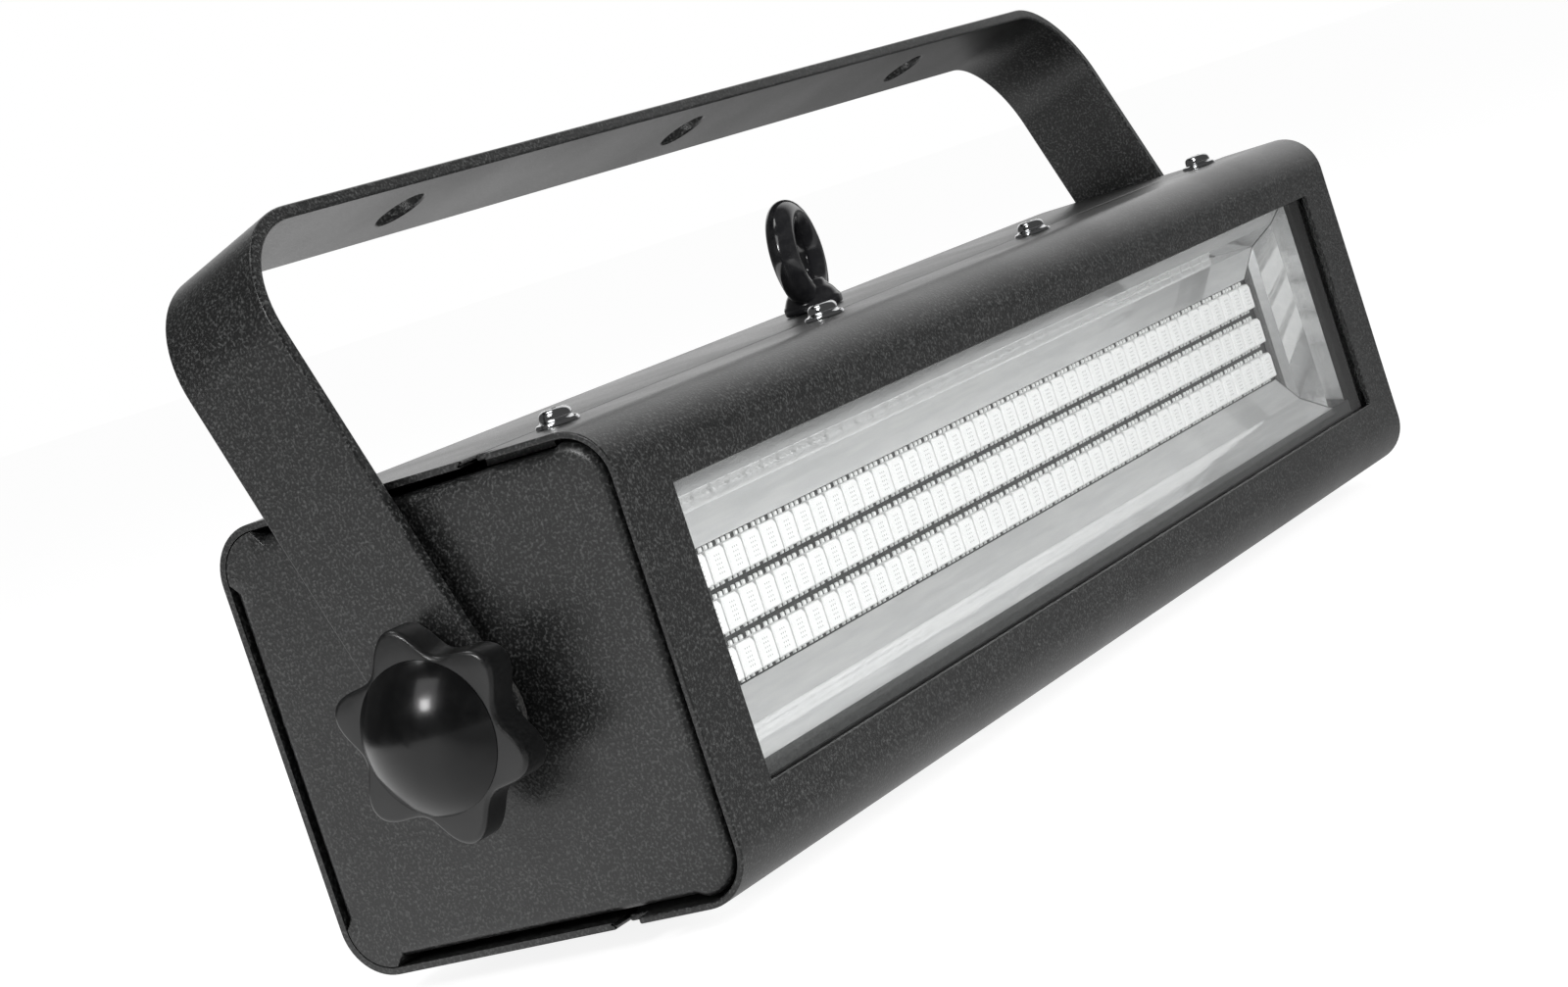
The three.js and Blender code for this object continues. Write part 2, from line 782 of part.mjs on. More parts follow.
function ledChassis() {
  const outside = halfLength - housing.sheet - fit.seat;
  const inside = outside - chassis.sheet;
  const { bendRadius: bend, sheet } = chassis;
  const legEnd = pivotY + chassis.legPastPivot;
  const outline = [
    at(-outside, legEnd),
    ...arc(-outside + bend, chassisFace + bend, bend, 0.5, 0.75, facets.corner),
    ...arc(outside - bend, chassisFace + bend, bend, 0.75, 1, facets.corner),
    at(outside, legEnd),
    at(inside, legEnd),
    ...arc(outside - bend, chassisFace + bend, bend - sheet, 1, 0.75, facets.corner),
    ...arc(-outside + bend, chassisFace + bend, bend - sheet, 0.75, 0.5, facets.corner),
    at(-inside, legEnd),
  ];
  const [low, high] = about(axisHeight, housing.height - 2 * chassis.edgeGap);
  const plate = prism("z", outline, low, high);
  const pivotHole = rod(
    "x",
    rivetNut.shankRadius + fit.shank,
    -halfLength,
    halfLength,
    pivotY,
    axisHeight,
    facets.bore,
  );
  const cableHole = rod(
    "y",
    chassis.cableHole,
    chassisFace - overrun,
    chassisFace + sheet + overrun,
    cableHoleX,
    axisHeight,
    facets.small,
  );
  return cut(plate, pivotHole, cableHole);
}

// Fasteners, feet and eyebolt

// A pan head on a flange, with a cross recess. The flange's underside is at zero and the shank points down.
function flangedScrew() {
  const s = shellScrew;
  const body = turned(
    "z",
    [
      [0, -s.shankLength],
      [s.shankRadius, -s.shankLength],
      [s.shankRadius, 0],
      [s.flangeRadius, 0],
      [s.flangeRadius, s.flangeThickness / 2],
      [s.headRadius, s.flangeThickness],
      [s.headRadius, s.headHeight - s.crown],
      [s.headRadius - s.crown, s.headHeight],
      [0, s.headHeight],
    ],
    facets.small,
  );
  const floor = [s.headHeight - s.recessDepth, s.headHeight + overrun];
  const slot = block(about(0, s.recessLength), about(0, s.recessWidth), floor);
  const crossSlot = block(about(0, s.recessWidth), about(0, s.recessLength), floor);
  return cut(body, slot, crossSlot);
}

// A round-head panel screw with a slot, pointing towards -Y from its head's underside at zero
function panelScrewShape() {
  const s = panelScrew;
  const body = turned(
    "y",
    [
      [0, -s.shankLength],
      [s.shankRadius, -s.shankLength],
      [s.shankRadius, 0],
      [s.headRadius, 0],
      [s.headRadius, s.headHeight / 2],
      [s.headRadius / 2, s.headHeight],
      [0, s.headHeight],
    ],
    facets.small,
  );
  const slot = block(
    about(0, 2 * s.headRadius),
    [s.headHeight - s.slotDepth, s.headHeight + overrun],
    about(0, s.slot),
  );
  return cut(body, slot);
}

function rubberFoot() {
  return turned(
    "z",
    [
      [0, -foot.height],
      [foot.radius - foot.chamfer, -foot.height],
      [foot.radius, foot.chamfer - foot.height],
      [foot.radius, 0],
      [0, 0],
    ],
    facets.bore,
  );
}

function eyeboltShape() {
  const e = eyebolt;
  const ring = new THREE.TorusGeometry(e.ringRadius, e.wireRadius, facets.ringSides, facets.round);
  ring.rotateX(turn / 4).rotateZ(radians(e.ringTurn)).translate(0, 0, e.ringHeight);
  const collar = turned(
    "z",
    [
      [0, -e.shankLength],
      [e.shankRadius, -e.shankLength],
      [e.shankRadius, 0],
      [e.collarRadius, 0],
      [e.collarRadius, e.collarWall],
      [e.shoulderRadius, e.shoulderHeight],
      [e.neckRadius, e.neckHeight],
      [0, e.neckHeight],
    ],
    facets.bore,
  );
  return join(collar, ring);
}

function hexNut(flats, thickness, boreRadius) {
  const cornerRadius = flats / 2 / Math.cos(turn / (2 * facets.hex));
  const body = rod("z", cornerRadius, 0, thickness, 0, 0, facets.hex);
  return cut(body, rod("z", boreRadius, -overrun, thickness + overrun, 0, 0, facets.small));
}

// Tilting joint. These pieces are built along +X from the end plate's outer face.

function ringAlongX(radius, boreRadius, from, to) {
  return turned(
    "x",
    [
      [boreRadius, from],
      [radius, from],
      [radius, to],
      [boreRadius, to],
      [boreRadius, from],
    ],
    facets.round,
  );
}

function rivetNutShape() {
  const n = rivetNut;
  const bulgeOutside = -(housing.sheet + 2 * fit.seat + chassis.sheet);
  const bulgeInside = bulgeOutside - n.bulge;
  return turned(
    "x",
    [
      [n.boreRadius, bulgeInside - n.tail],
      [n.shankRadius, bulgeInside - n.tail],
      [n.shankRadius, bulgeInside],
      [n.bulgeRadius, bulgeInside],
      [n.bulgeRadius, bulgeOutside],
      [n.shankRadius, bulgeOutside],
      [n.shankRadius, fit.seat],
      [n.flangeRadius, fit.seat],
      [n.flangeRadius, nutFlangeTop],
      [n.boreRadius, nutFlangeTop],
      [n.boreRadius, bulgeInside - n.tail],
    ],
    facets.bore,
  );
}

// The radius of the star outline at an angle from a lobe's tip
function starRadius(angle, inset) {
  const wave = (1 + Math.cos(knob.lobes * angle)) / 2;
  const rise = (knob.tipRadius - knob.valleyRadius) * wave ** knob.tipSharpness;
  return knob.valleyRadius + rise - inset;
}

function starKnob() {
  const k = knob;
  const count = k.lobes * k.pointsPerLobe;
  const ring = (height, radiusAt) =>
    Array.from({ length: count }, (_, i) => {
      const angle = (turn * (i + 1 / 2)) / count;
      const radius = radiusAt(angle);
      return [radius * Math.cos(angle), radius * Math.sin(angle), knobBase + height];
    });
  const round = (height, radius) => ring(height, () => radius);
  const star = (height, inset) => ring(height, (angle) => starRadius(angle, inset));
  const face = k.hub + k.skirt;
  const domeCentre = (k.domeRadius ** 2 - k.domeHeight ** 2) / (2 * k.domeHeight);
  const sphere = domeCentre + k.domeHeight;
  const dome = Array.from({ length: facets.dome + 1 }, (_, i) => {
    const share = Math.cos((turn / 4) * (i / facets.dome));
    const radius = k.domeTipRadius + (k.domeRadius - k.domeTipRadius) * share;
    return round(face + Math.sqrt(sphere ** 2 - radius ** 2) - domeCentre, radius);
  });
  const body = loft([
    round(0, k.hubRadius),
    round(k.hub, k.hubRadius),
    star(k.hub, k.underFillet),
    star(k.hub + k.underFillet, 0),
    star(face - k.edgeFillet, 0),
    star(face, k.edgeFillet),
    ...dome,
  ]).applyMatrix4(frames.x);
  const boreEnd = knobBase + stud.sunk + fit.seat;
  return cut(body, rod("x", stud.radius + fit.seat, knobBase - overrun, boreEnd, 0, 0, facets.bore));
}

function studShape() {
  return rod("x", stud.radius, knobBase + stud.sunk - stud.length, knobBase + stud.sunk, 0, 0, facets.bore);
}

// The yoke, built upright round its own tilting axis at zero
function yokeShape() {
  const outside = halfLength + armOutside;
  const inside = outside - yoke.sheet;
  const { reach, sheet, bendRadius: bend, width } = yoke;
  const innerBend = bend - sheet;
  const outline = [
    at(-outside, 0),
    ...arc(-outside + bend, reach - bend, bend, 0.5, 0.25, facets.bend),
    ...arc(outside - bend, reach - bend, bend, 0.25, 0, facets.bend),
    at(outside, 0),
    at(inside, 0),
    ...arc(outside - bend, reach - bend, innerBend, 0, 0.25, facets.bend),
    ...arc(-outside + bend, reach - bend, innerBend, 0.25, 0.5, facets.bend),
    at(-inside, 0),
  ];
  const strap = prism("y", outline, -width / 2, width / 2);
  const armEnds = [-1, 1].map((side) => {
    const [from, to] = side > 0 ? [inside, outside] : [-outside, -inside];
    return rod("x", width / 2, from, to, 0, 0, facets.round);
  });
  const pivotHole = rod("x", yoke.pivotHole, -outside - overrun, outside + overrun, 0, 0, facets.bore);
  const clampHoles = [-1, 0, 1].map((place) =>
    rod(
      "z",
      yoke.clampHole,
      reach - sheet - overrun,
      reach + overrun,
      place * yoke.clampSpacing,
      0,
      facets.bore,
    ),
  );
  return cut(join(strap, ...armEnds), pivotHole, ...clampHoles);
}

// Rear panel pieces

function inletShape() {
  const i = inlet;
  const z = axisHeight;
  const socketZ = z + i.socketLift;
  const face = rear + fit.seat + i.flange;
  const flange = prism(
    "y",
    roundedOutline(i.x, z, i.flangeWidth, i.flangeHeight, i.flangeCorner),
    rear + fit.seat,
    face,
  );
  const body = block(
    about(i.x, i.width),
    [rear - i.depth, rear + fit.seat + i.flange / 2],
    about(z, i.height),
  );
  const [w, h, c] = [i.socketWidth / 2, i.socketHeight / 2, i.socketCorner];
  const socketOutline = [
    at(i.x - w, socketZ - h),
    at(i.x + w, socketZ - h),
    at(i.x + w, socketZ + h - c),
    at(i.x + w - c, socketZ + h),
    at(i.x - w + c, socketZ + h),
    at(i.x - w, socketZ + h - c),
  ];
  const floor = face - i.socketDepth;
  const socket = prism("y", socketOutline, floor, face + overrun);
  const slot = block(
    about(i.x, drawer.width + 2 * fit.slide),
    [face - drawer.depth - fit.slide, face + overrun],
    about(z - drawer.drop, drawer.height + 2 * fit.slide),
  );
  const pins = [
    [0, i.earthPinLift],
    [-i.pinSpacing, -i.livePinDrop],
    [i.pinSpacing, -i.livePinDrop],
  ].map(([dx, dz]) =>
    block(
      about(i.x + dx, i.pinWidth),
      [floor - i.flange / 2, floor + i.pinLength],
      about(socketZ + dz, i.pinHeight),
    ),
  );
  const screwHoles = inletScrewX.map((x) =>
    rod("y", panelScrew.shankRadius + fit.shank, rear - overrun, face + overrun, x, z, facets.small),
  );
  return join(cut(join(flange, body), socket, slot, ...screwHoles), ...pins);
}

const inletFace = rear + fit.seat + inlet.flange;
const fuseY = inletFace - drawer.depth + drawer.wall + fit.slide + fuse.radius;
const drawerZ = axisHeight - drawer.drop;

function fuseDrawer() {
  const d = drawer;
  const body = block(
    about(inlet.x, d.width),
    [inletFace - d.depth, inletFace + fit.seat + d.cap / 2],
    about(drawerZ, d.height),
  );
  const cap = block(
    about(inlet.x, d.capWidth),
    [inletFace + fit.seat, inletFace + fit.seat + d.cap],
    about(drawerZ, d.capHeight),
  );
  const grip = block(
    about(inlet.x, d.gripWidth),
    [inletFace + fit.seat + d.cap - d.gripDepth, inletFace + d.cap + overrun],
    about(drawerZ, d.gripHeight),
  );
  const bed = block(
    about(inlet.x, fuse.length + 2 * fit.slide),
    about(fuseY, 2 * (fuse.radius + fit.slide)),
    [drawerZ - fuse.radius - fit.slide, drawerZ + d.height],
  );
  return cut(join(body, cap), grip, bed);
}

function fuseShape() {
  return rod("x", fuse.radius, ...about(inlet.x, fuse.length), fuseY, drawerZ, facets.small);
}

function dataSocketBody(x, hollows) {
  const s = dataSocket;
  const flange = prism(
    "y",
    roundedOutline(x, axisHeight, s.flangeWidth, s.flangeHeight, s.flangeCorner),
    rear + fit.seat,
    rear + fit.seat + s.flange,
  );
  const barrelEnd = rear + fit.seat + s.flange / 2;
  const barrel = rod("y", s.radius, rear - s.depth, barrelEnd, x, axisHeight, facets.round);
  const screwHoles = dataScrews.map(([dx, dz]) =>
    rod(
      "y",
      panelScrew.shankRadius + fit.shank,
      rear - overrun,
      rear + s.flange + overrun,
      x + dx,
      axisHeight + dz,
      facets.small,
    ),
  );
  return cut(join(flange, barrel), ...screwHoles, ...hollows);
}

const dataFace = rear + fit.seat + dataSocket.flange;
const dataFloor = dataFace - dataSocket.cavityDepth;

// Three contacts on a circle, the lowest straight down
function contactPlaces(x) {
  const count = 3;
  return Array.from({ length: count }, (_, i) => {
    const angle = (turn * i) / count - turn / 4;
    return [x + dataSocket.pinCircle * Math.cos(angle), axisHeight + dataSocket.pinCircle * Math.sin(angle)];
  });
}

function dataInSocket() {
  const s = dataSocket;
  const cavity = rod("y", s.cavityRadius, dataFloor, dataFace + overrun, s.inX, axisHeight, facets.round);
  const pins = contactPlaces(s.inX).map(([x, z]) =>
    rod("y", s.pinRadius, dataFloor - s.flange, dataFloor + s.pinLength, x, z, facets.pin),
  );
  return join(dataSocketBody(s.inX, [cavity]), ...pins);
}

function dataOutSocket() {
  const s = dataSocket;
  const cavity = rod("y", s.cavityRadius, dataFloor, dataFace + overrun, s.outX, axisHeight, facets.round);
  const tabSlot = block(
    about(s.outX, latch.width + 2 * fit.slide),
    [rear - overrun, dataFace + overrun],
    about(axisHeight + latch.lift, latch.height + 2 * fit.slide),
  );
  const insertFace = dataFace - s.insertSink;
  const insert = rod("y", s.insertRadius, dataFloor - s.flange, insertFace, s.outX, axisHeight, facets.round);
  const holes = contactPlaces(s.outX).map(([x, z]) =>
    rod("y", s.holeRadius, insertFace - s.holeDepth, dataFace + overrun, x, z, facets.pin),
  );
  return cut(join(dataSocketBody(s.outX, [cavity, tabSlot]), insert), ...holes);
}

function latchTab() {
  const back = rear + fit.seat + latch.travel;
  return block(
    about(dataSocket.outX, latch.width),
    [back, dataFace + latch.proud],
    about(axisHeight + latch.lift, latch.height),
  );
}

function displayWindow() {
  const d = display;
  const flangeBack = rearInside - fit.seat - d.flange;
  const plate = block(
    about(controlBoard.x, d.width + 2 * d.border),
    [flangeBack, rearInside - fit.seat],
    about(displayZ, d.height + 2 * d.border),
  );
  const lens = block(
    about(controlBoard.x, d.width - 2 * fit.slide),
    [flangeBack + d.flange / 2, rear],
    about(displayZ, d.height - 2 * fit.slide),
  );
  return join(plate, lens);
}

const plungerTop = boardFace - fit.seat + tactSwitch.height + tactSwitch.plunger;

function buttonCap(x) {
  const b = button;
  const crown = rear + b.proud;
  const collarTop = rearInside - fit.seat;
  return turned(
    "y",
    [
      [0, plungerTop + fit.seat + b.travel],
      [b.radius, plungerTop + fit.seat + b.travel],
      [b.radius, collarTop - b.collar],
      [b.collarRadius, collarTop - b.collar],
      [b.collarRadius, collarTop],
      [b.radius, collarTop],
      [b.radius, crown - b.fillet],
      [b.radius - b.fillet, crown],
      [0, crown],
    ],
    facets.bore,
  ).translate(x, 0, buttonZ);
}

function controlBoardShape() {
  const board = block(
    about(controlBoard.x, controlBoard.width),
    [boardBack, boardFace - fit.seat],
    about(axisHeight, controlBoard.height),
  );
  const face = boardFace - fit.seat;
  const screen = block(
    about(controlBoard.x, display.blockWidth),
    [face - fit.seat, rearInside - display.flange - 2 * fit.seat],
    about(displayZ, display.blockHeight),
  );
  const switches = buttonX.flatMap((x) => [
    block(
      about(x, tactSwitch.side),
      [face - fit.seat, face + tactSwitch.height],
      about(buttonZ, tactSwitch.side),
    ),
    rod("y", tactSwitch.plungerRadius, face, plungerTop, x, buttonZ, facets.pin),
  ]);
  return join(board, screen, ...switches);
}

// Where the leads meet the power board's connectors
const connectorFace = boardBack - connector.reach;

function powerBoardShape() {
  const face = boardFace - fit.seat;
  const board = block(
    about(powerBoard.x, powerBoard.width),
    [boardBack, face],
    about(axisHeight, powerBoard.height),
  );
  const placeX = (xShare) => powerBoard.x + xShare * powerBoard.width;
  const lump = ({ xShare, rise, widthShare, height, reach }) =>
    block(
      about(placeX(xShare), widthShare * powerBoard.width),
      [boardBack - reach, boardBack + fit.seat],
      about(axisHeight + rise, height),
    );
  const connectors = [mainsConnectorX, ledConnectorX].map((x) =>
    block(
      about(x, connector.widthShare * powerBoard.width),
      [connectorFace, boardBack + fit.seat],
      about(axisHeight, connector.height),
    ),
  );
  const { transformer, heatSink, filter, capacitor: can } = boardParts;
  const capacitor = rod(
    "y",
    can.radius,
    boardBack - can.reach,
    boardBack + fit.seat,
    placeX(can.xShare),
    axisHeight + can.rise,
    facets.bore,
  );
  return join(board, lump(transformer), lump(heatSink), lump(filter), capacitor, ...connectors);
}

// Leads

function leadAlong(points, radius) {
  const section = arc(0, 0, radius, 0, 1, lead.sides).slice(0, lead.sides);
  const path = new THREE.CatmullRomCurve3(points);
  return new THREE.ExtrudeGeometry(new THREE.Shape(section), { steps: lead.steps, extrudePath: path });
}

function mainsLead() {
  const start = rear - inlet.depth - lead.clear;
  const end = connectorFace - lead.clear;
  const low = Math.min(start, end) - 2 * lead.mainsRadius;
  return leadAlong(
    [
      axis(inlet.x, start, axisHeight),
      axis(inlet.x, start - lead.mainsRadius, axisHeight),
      axis((inlet.x + mainsConnectorX) / 2, low - 2 * lead.mainsRadius, axisHeight),
      axis(mainsConnectorX, end - lead.mainsRadius, axisHeight),
      axis(mainsConnectorX, end, axisHeight),
    ],
    lead.mainsRadius,
  );
}

function ledLead() {
  const start = connectorFace - lead.clear;
  const end = chassisFace - fit.seat + lead.clear;
  const middle = (start + end) / 2;
  return leadAlong(
    [
      axis(ledConnectorX, start, axisHeight),
      axis(ledConnectorX, start - 2 * lead.ledRadius, axisHeight),
      axis((ledConnectorX + cableHoleX) / 2, middle, axisHeight),
      axis(cableHoleX, end + 4 * lead.ledRadius, axisHeight),
      axis(cableHoleX, end, axisHeight),
    ],
    lead.ledRadius,
  );
}

// A flat cable that loops from the control board's back to the power board's back
function controlRibbon() {
  const left = controlBoard.x + controlBoard.width / 2 - ribbon.width;
  const right = powerBoard.x - powerBoard.width / 2 + ribbon.thickness;
  const near = boardBack - lead.clear;
  const bend = ribbon.thickness * 2;
  const far = near - ribbon.drop;
  const inner = bend - ribbon.thickness;
  const outline = [
    at(left, near),
    ...arc(left + bend, far + bend, bend, 0.5, 0.75, facets.corner),
    ...arc(right + ribbon.thickness - bend, far + bend, bend, 0.75, 1, facets.corner),
    at(right + ribbon.thickness, near),
    at(right, near),
    ...arc(right + ribbon.thickness - bend, far + bend, inner, 1, 0.75, facets.corner),
    ...arc(left + bend, far + bend, inner, 0.75, 0.5, facets.corner),
    at(left + ribbon.thickness, near),
  ];
  return prism("z", outline, ...about(axisHeight, ribbon.width));
}

// Assembly

const strobe = new THREE.Group();

strobe.add(
  part("front_shell", frontShell(), finishes.powderBlack),
  part("rear_shell", rearShell(), finishes.powderBlack),
  part("left_end_plate", endPlateTray(-1), finishes.powderBlack),
  part("right_end_plate", endPlateTray(1), finishes.powderBlack),
  part("window_glass", glassPane(), finishes.clearGlass),
  part("window_gasket", windowGasket(), finishes.rubber),
  part("reflector_upper", reflectorStrip(1), finishes.mirror),
  part("reflector_lower", reflectorStrip(-1), finishes.mirror),
  part("reflector_left", reflectorEnd(-1), finishes.mirror),
  part("reflector_right", reflectorEnd(1), finishes.mirror),
  part("led_board", ledBoardWithPackages(), finishes.ledBoard),
  part("led_chassis", ledChassis(), finishes.aluminium),
  part("power_board", powerBoardShape(), finishes.circuitBoard),
  part("control_board", controlBoardShape(), finishes.circuitBoard),
  part("display_window", displayWindow(), finishes.smokedWindow),
  part("mains_inlet", inletShape(), finishes.mattBlack),
  part("fuse_drawer", fuseDrawer(), finishes.mattBlack),
  part("fuse", fuseShape(), finishes.clearGlass),
  part("data_in_socket", dataInSocket(), finishes.mattBlack),
  part("data_out_socket", dataOutSocket(), finishes.mattBlack),
  part("data_out_latch", latchTab(), finishes.zinc),
  part("mains_lead", mainsLead(), finishes.cable),
  part("led_lead", ledLead(), finishes.cable),
  part("control_ribbon", controlRibbon(), finishes.cable),
);

buttonX.forEach((x, i) => strobe.add(part(`button_${i + 1}`, buttonCap(x), finishes.glossBlack)));

shellScrewX.forEach((x, i) => {
  const upper = part(`top_screw_${i + 1}`, flangedScrew(), finishes.chrome);
  upper.position.set(x, shellScrewY, top + fit.seat);
  const lower = part(`bottom_screw_${i + 1}`, flangedScrew(), finishes.chrome);
  lower.position.set(x, shellScrewY, -fit.seat);
  lower.rotation.x = turn / 2;
  strobe.add(upper, lower);
});

const panelScrews = [
  ...inletScrewX.map((x, i) => [`inlet_screw_${i + 1}`, x, inletFace, axisHeight]),
  ...dataScrews.flatMap(([dx, dz], i) => [
    [`data_in_screw_${i + 1}`, dataSocket.inX + dx, dataFace, axisHeight + dz],
    [`data_out_screw_${i + 1}`, dataSocket.outX + dx, dataFace, axisHeight + dz],
  ]),
];
panelScrews.forEach(([name, x, y, z]) => {
  const screw = part(name, panelScrewShape(), finishes.zinc);
  screw.position.set(x, y + fit.seat, z);
  strobe.add(screw);
});

const frontFootY = seam + foot.pastSeam;
const rearFootY = rear - foot.fromRear;
const footPlaces = {
  front_left_foot: [-1, frontFootY],
  front_right_foot: [1, frontFootY],
  rear_left_foot: [-1, rearFootY],
  rear_right_foot: [1, rearFootY],
};
Object.entries(footPlaces).forEach(([name, [side, y]]) => {
  const pad = part(name, rubberFoot(), finishes.rubber);
  pad.position.set(side * (halfLength - foot.fromEnd), y, -fit.seat);
  strobe.add(pad);
});

const eye = part("eyebolt", eyeboltShape(), finishes.glossBlack);
eye.position.set(0, eyebolt.y, top + fit.seat);
const eyeNutShape = hexNut(eyebolt.nutFlats, eyebolt.nutThickness, eyebolt.shankRadius + fit.shank);
const eyeNut = part("eyebolt_nut", eyeNutShape, finishes.zinc);
eyeNut.position.set(0, eyebolt.y, top - housing.sheet - fit.seat - eyebolt.nutThickness);
strobe.add(eye, eyeNut);

[
  ["left", -1],
  ["right", 1],
].forEach(([name, side]) => {
  const joint = new THREE.Group();
  joint.position.set(side * halfLength, pivotY, axisHeight);
  joint.rotation.z = side > 0 ? 0 : turn / 2;
  const grip = part(`${name}_knob`, starKnob(), finishes.glossBlack);
  grip.rotation.x = radians(side > 0 ? knob.firstLobe : -knob.firstLobe);
  joint.add(
    part(`${name}_pivot_nut`, rivetNutShape(), finishes.zinc),
    part(
      `${name}_friction_washer`,
      ringAlongX(frictionWasher.radius, frictionWasher.boreRadius, nutFlangeTop + fit.seat, frictionTop),
      finishes.mattBlack,
    ),
    part(
      `${name}_thrust_washer`,
      ringAlongX(thrustWasher.radius, thrustWasher.boreRadius, armOutside + fit.seat, thrustTop),
      finishes.zinc,
    ),
    part(`${name}_stud`, studShape(), finishes.zinc),
    grip,
  );
  strobe.add(joint);
});

const tilting = new THREE.Group();
tilting.position.set(0, pivotY, axisHeight);
tilting.rotation.x = -radians(yoke.tilt);
tilting.add(part("yoke", yokeShape(), finishes.powderBlack));
strobe.add(tilting);

const rearmost = inletFace + fit.seat + drawer.cap;
const standing = new THREE.Group();
standing.position.set(0, -(front + rearmost) / 2, foot.height + fit.seat);
standing.add(strobe);

export default standing;
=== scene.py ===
"""The look of a strobe light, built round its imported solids.

Sizes are in millimetres from the middle of the housing's flat underside, as in the part's source: X runs
along the bar, the light leaves towards -Y and Z is up. Surface.into_mesh moves them into the shared frame.
"""

import logging
import math
from collections.abc import Callable, Sequence
from dataclasses import dataclass, replace
from enum import Enum

import bmesh
import bpy
import numpy as np
from mathutils import Matrix, Vector


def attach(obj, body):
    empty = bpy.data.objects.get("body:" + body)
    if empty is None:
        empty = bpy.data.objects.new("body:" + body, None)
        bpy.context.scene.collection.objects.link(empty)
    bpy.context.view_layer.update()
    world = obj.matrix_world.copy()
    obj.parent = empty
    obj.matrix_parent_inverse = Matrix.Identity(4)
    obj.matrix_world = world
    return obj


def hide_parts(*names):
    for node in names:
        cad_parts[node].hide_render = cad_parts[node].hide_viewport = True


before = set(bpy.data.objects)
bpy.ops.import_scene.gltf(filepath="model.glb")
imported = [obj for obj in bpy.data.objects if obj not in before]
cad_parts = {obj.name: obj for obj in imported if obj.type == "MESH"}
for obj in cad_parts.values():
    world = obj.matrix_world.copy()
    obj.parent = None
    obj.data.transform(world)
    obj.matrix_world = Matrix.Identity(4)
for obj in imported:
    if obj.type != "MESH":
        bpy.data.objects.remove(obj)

LOG = logging.getLogger("strobe")
MM = 0.001
ORIGIN = np.array([0.0, -2.25, 3.8])  # the housing's own origin in the shared frame
TURN = 2 * math.pi
MERGE = 0.004 * MM  # corners closer than this are one
HAIR = 0.01  # millimetres by which a place may miss a plane that it lies on
TIP = 0.01  # share or radius of the tiny ring that closes a surface
SOFT_SHARE = 0.45  # the most of a profile's side that a rounding takes
ENDS = {"left": -1, "right": 1}  # the bar's ends and their directions along X
WHITE = (1, 1, 1, 1)
Node = bpy.types.Node
Socket = bpy.types.NodeSocket
Colour = tuple[float, float, float]
Profile = tuple[tuple[float, float], ...]  # radii and places along an axis


# Surfaces


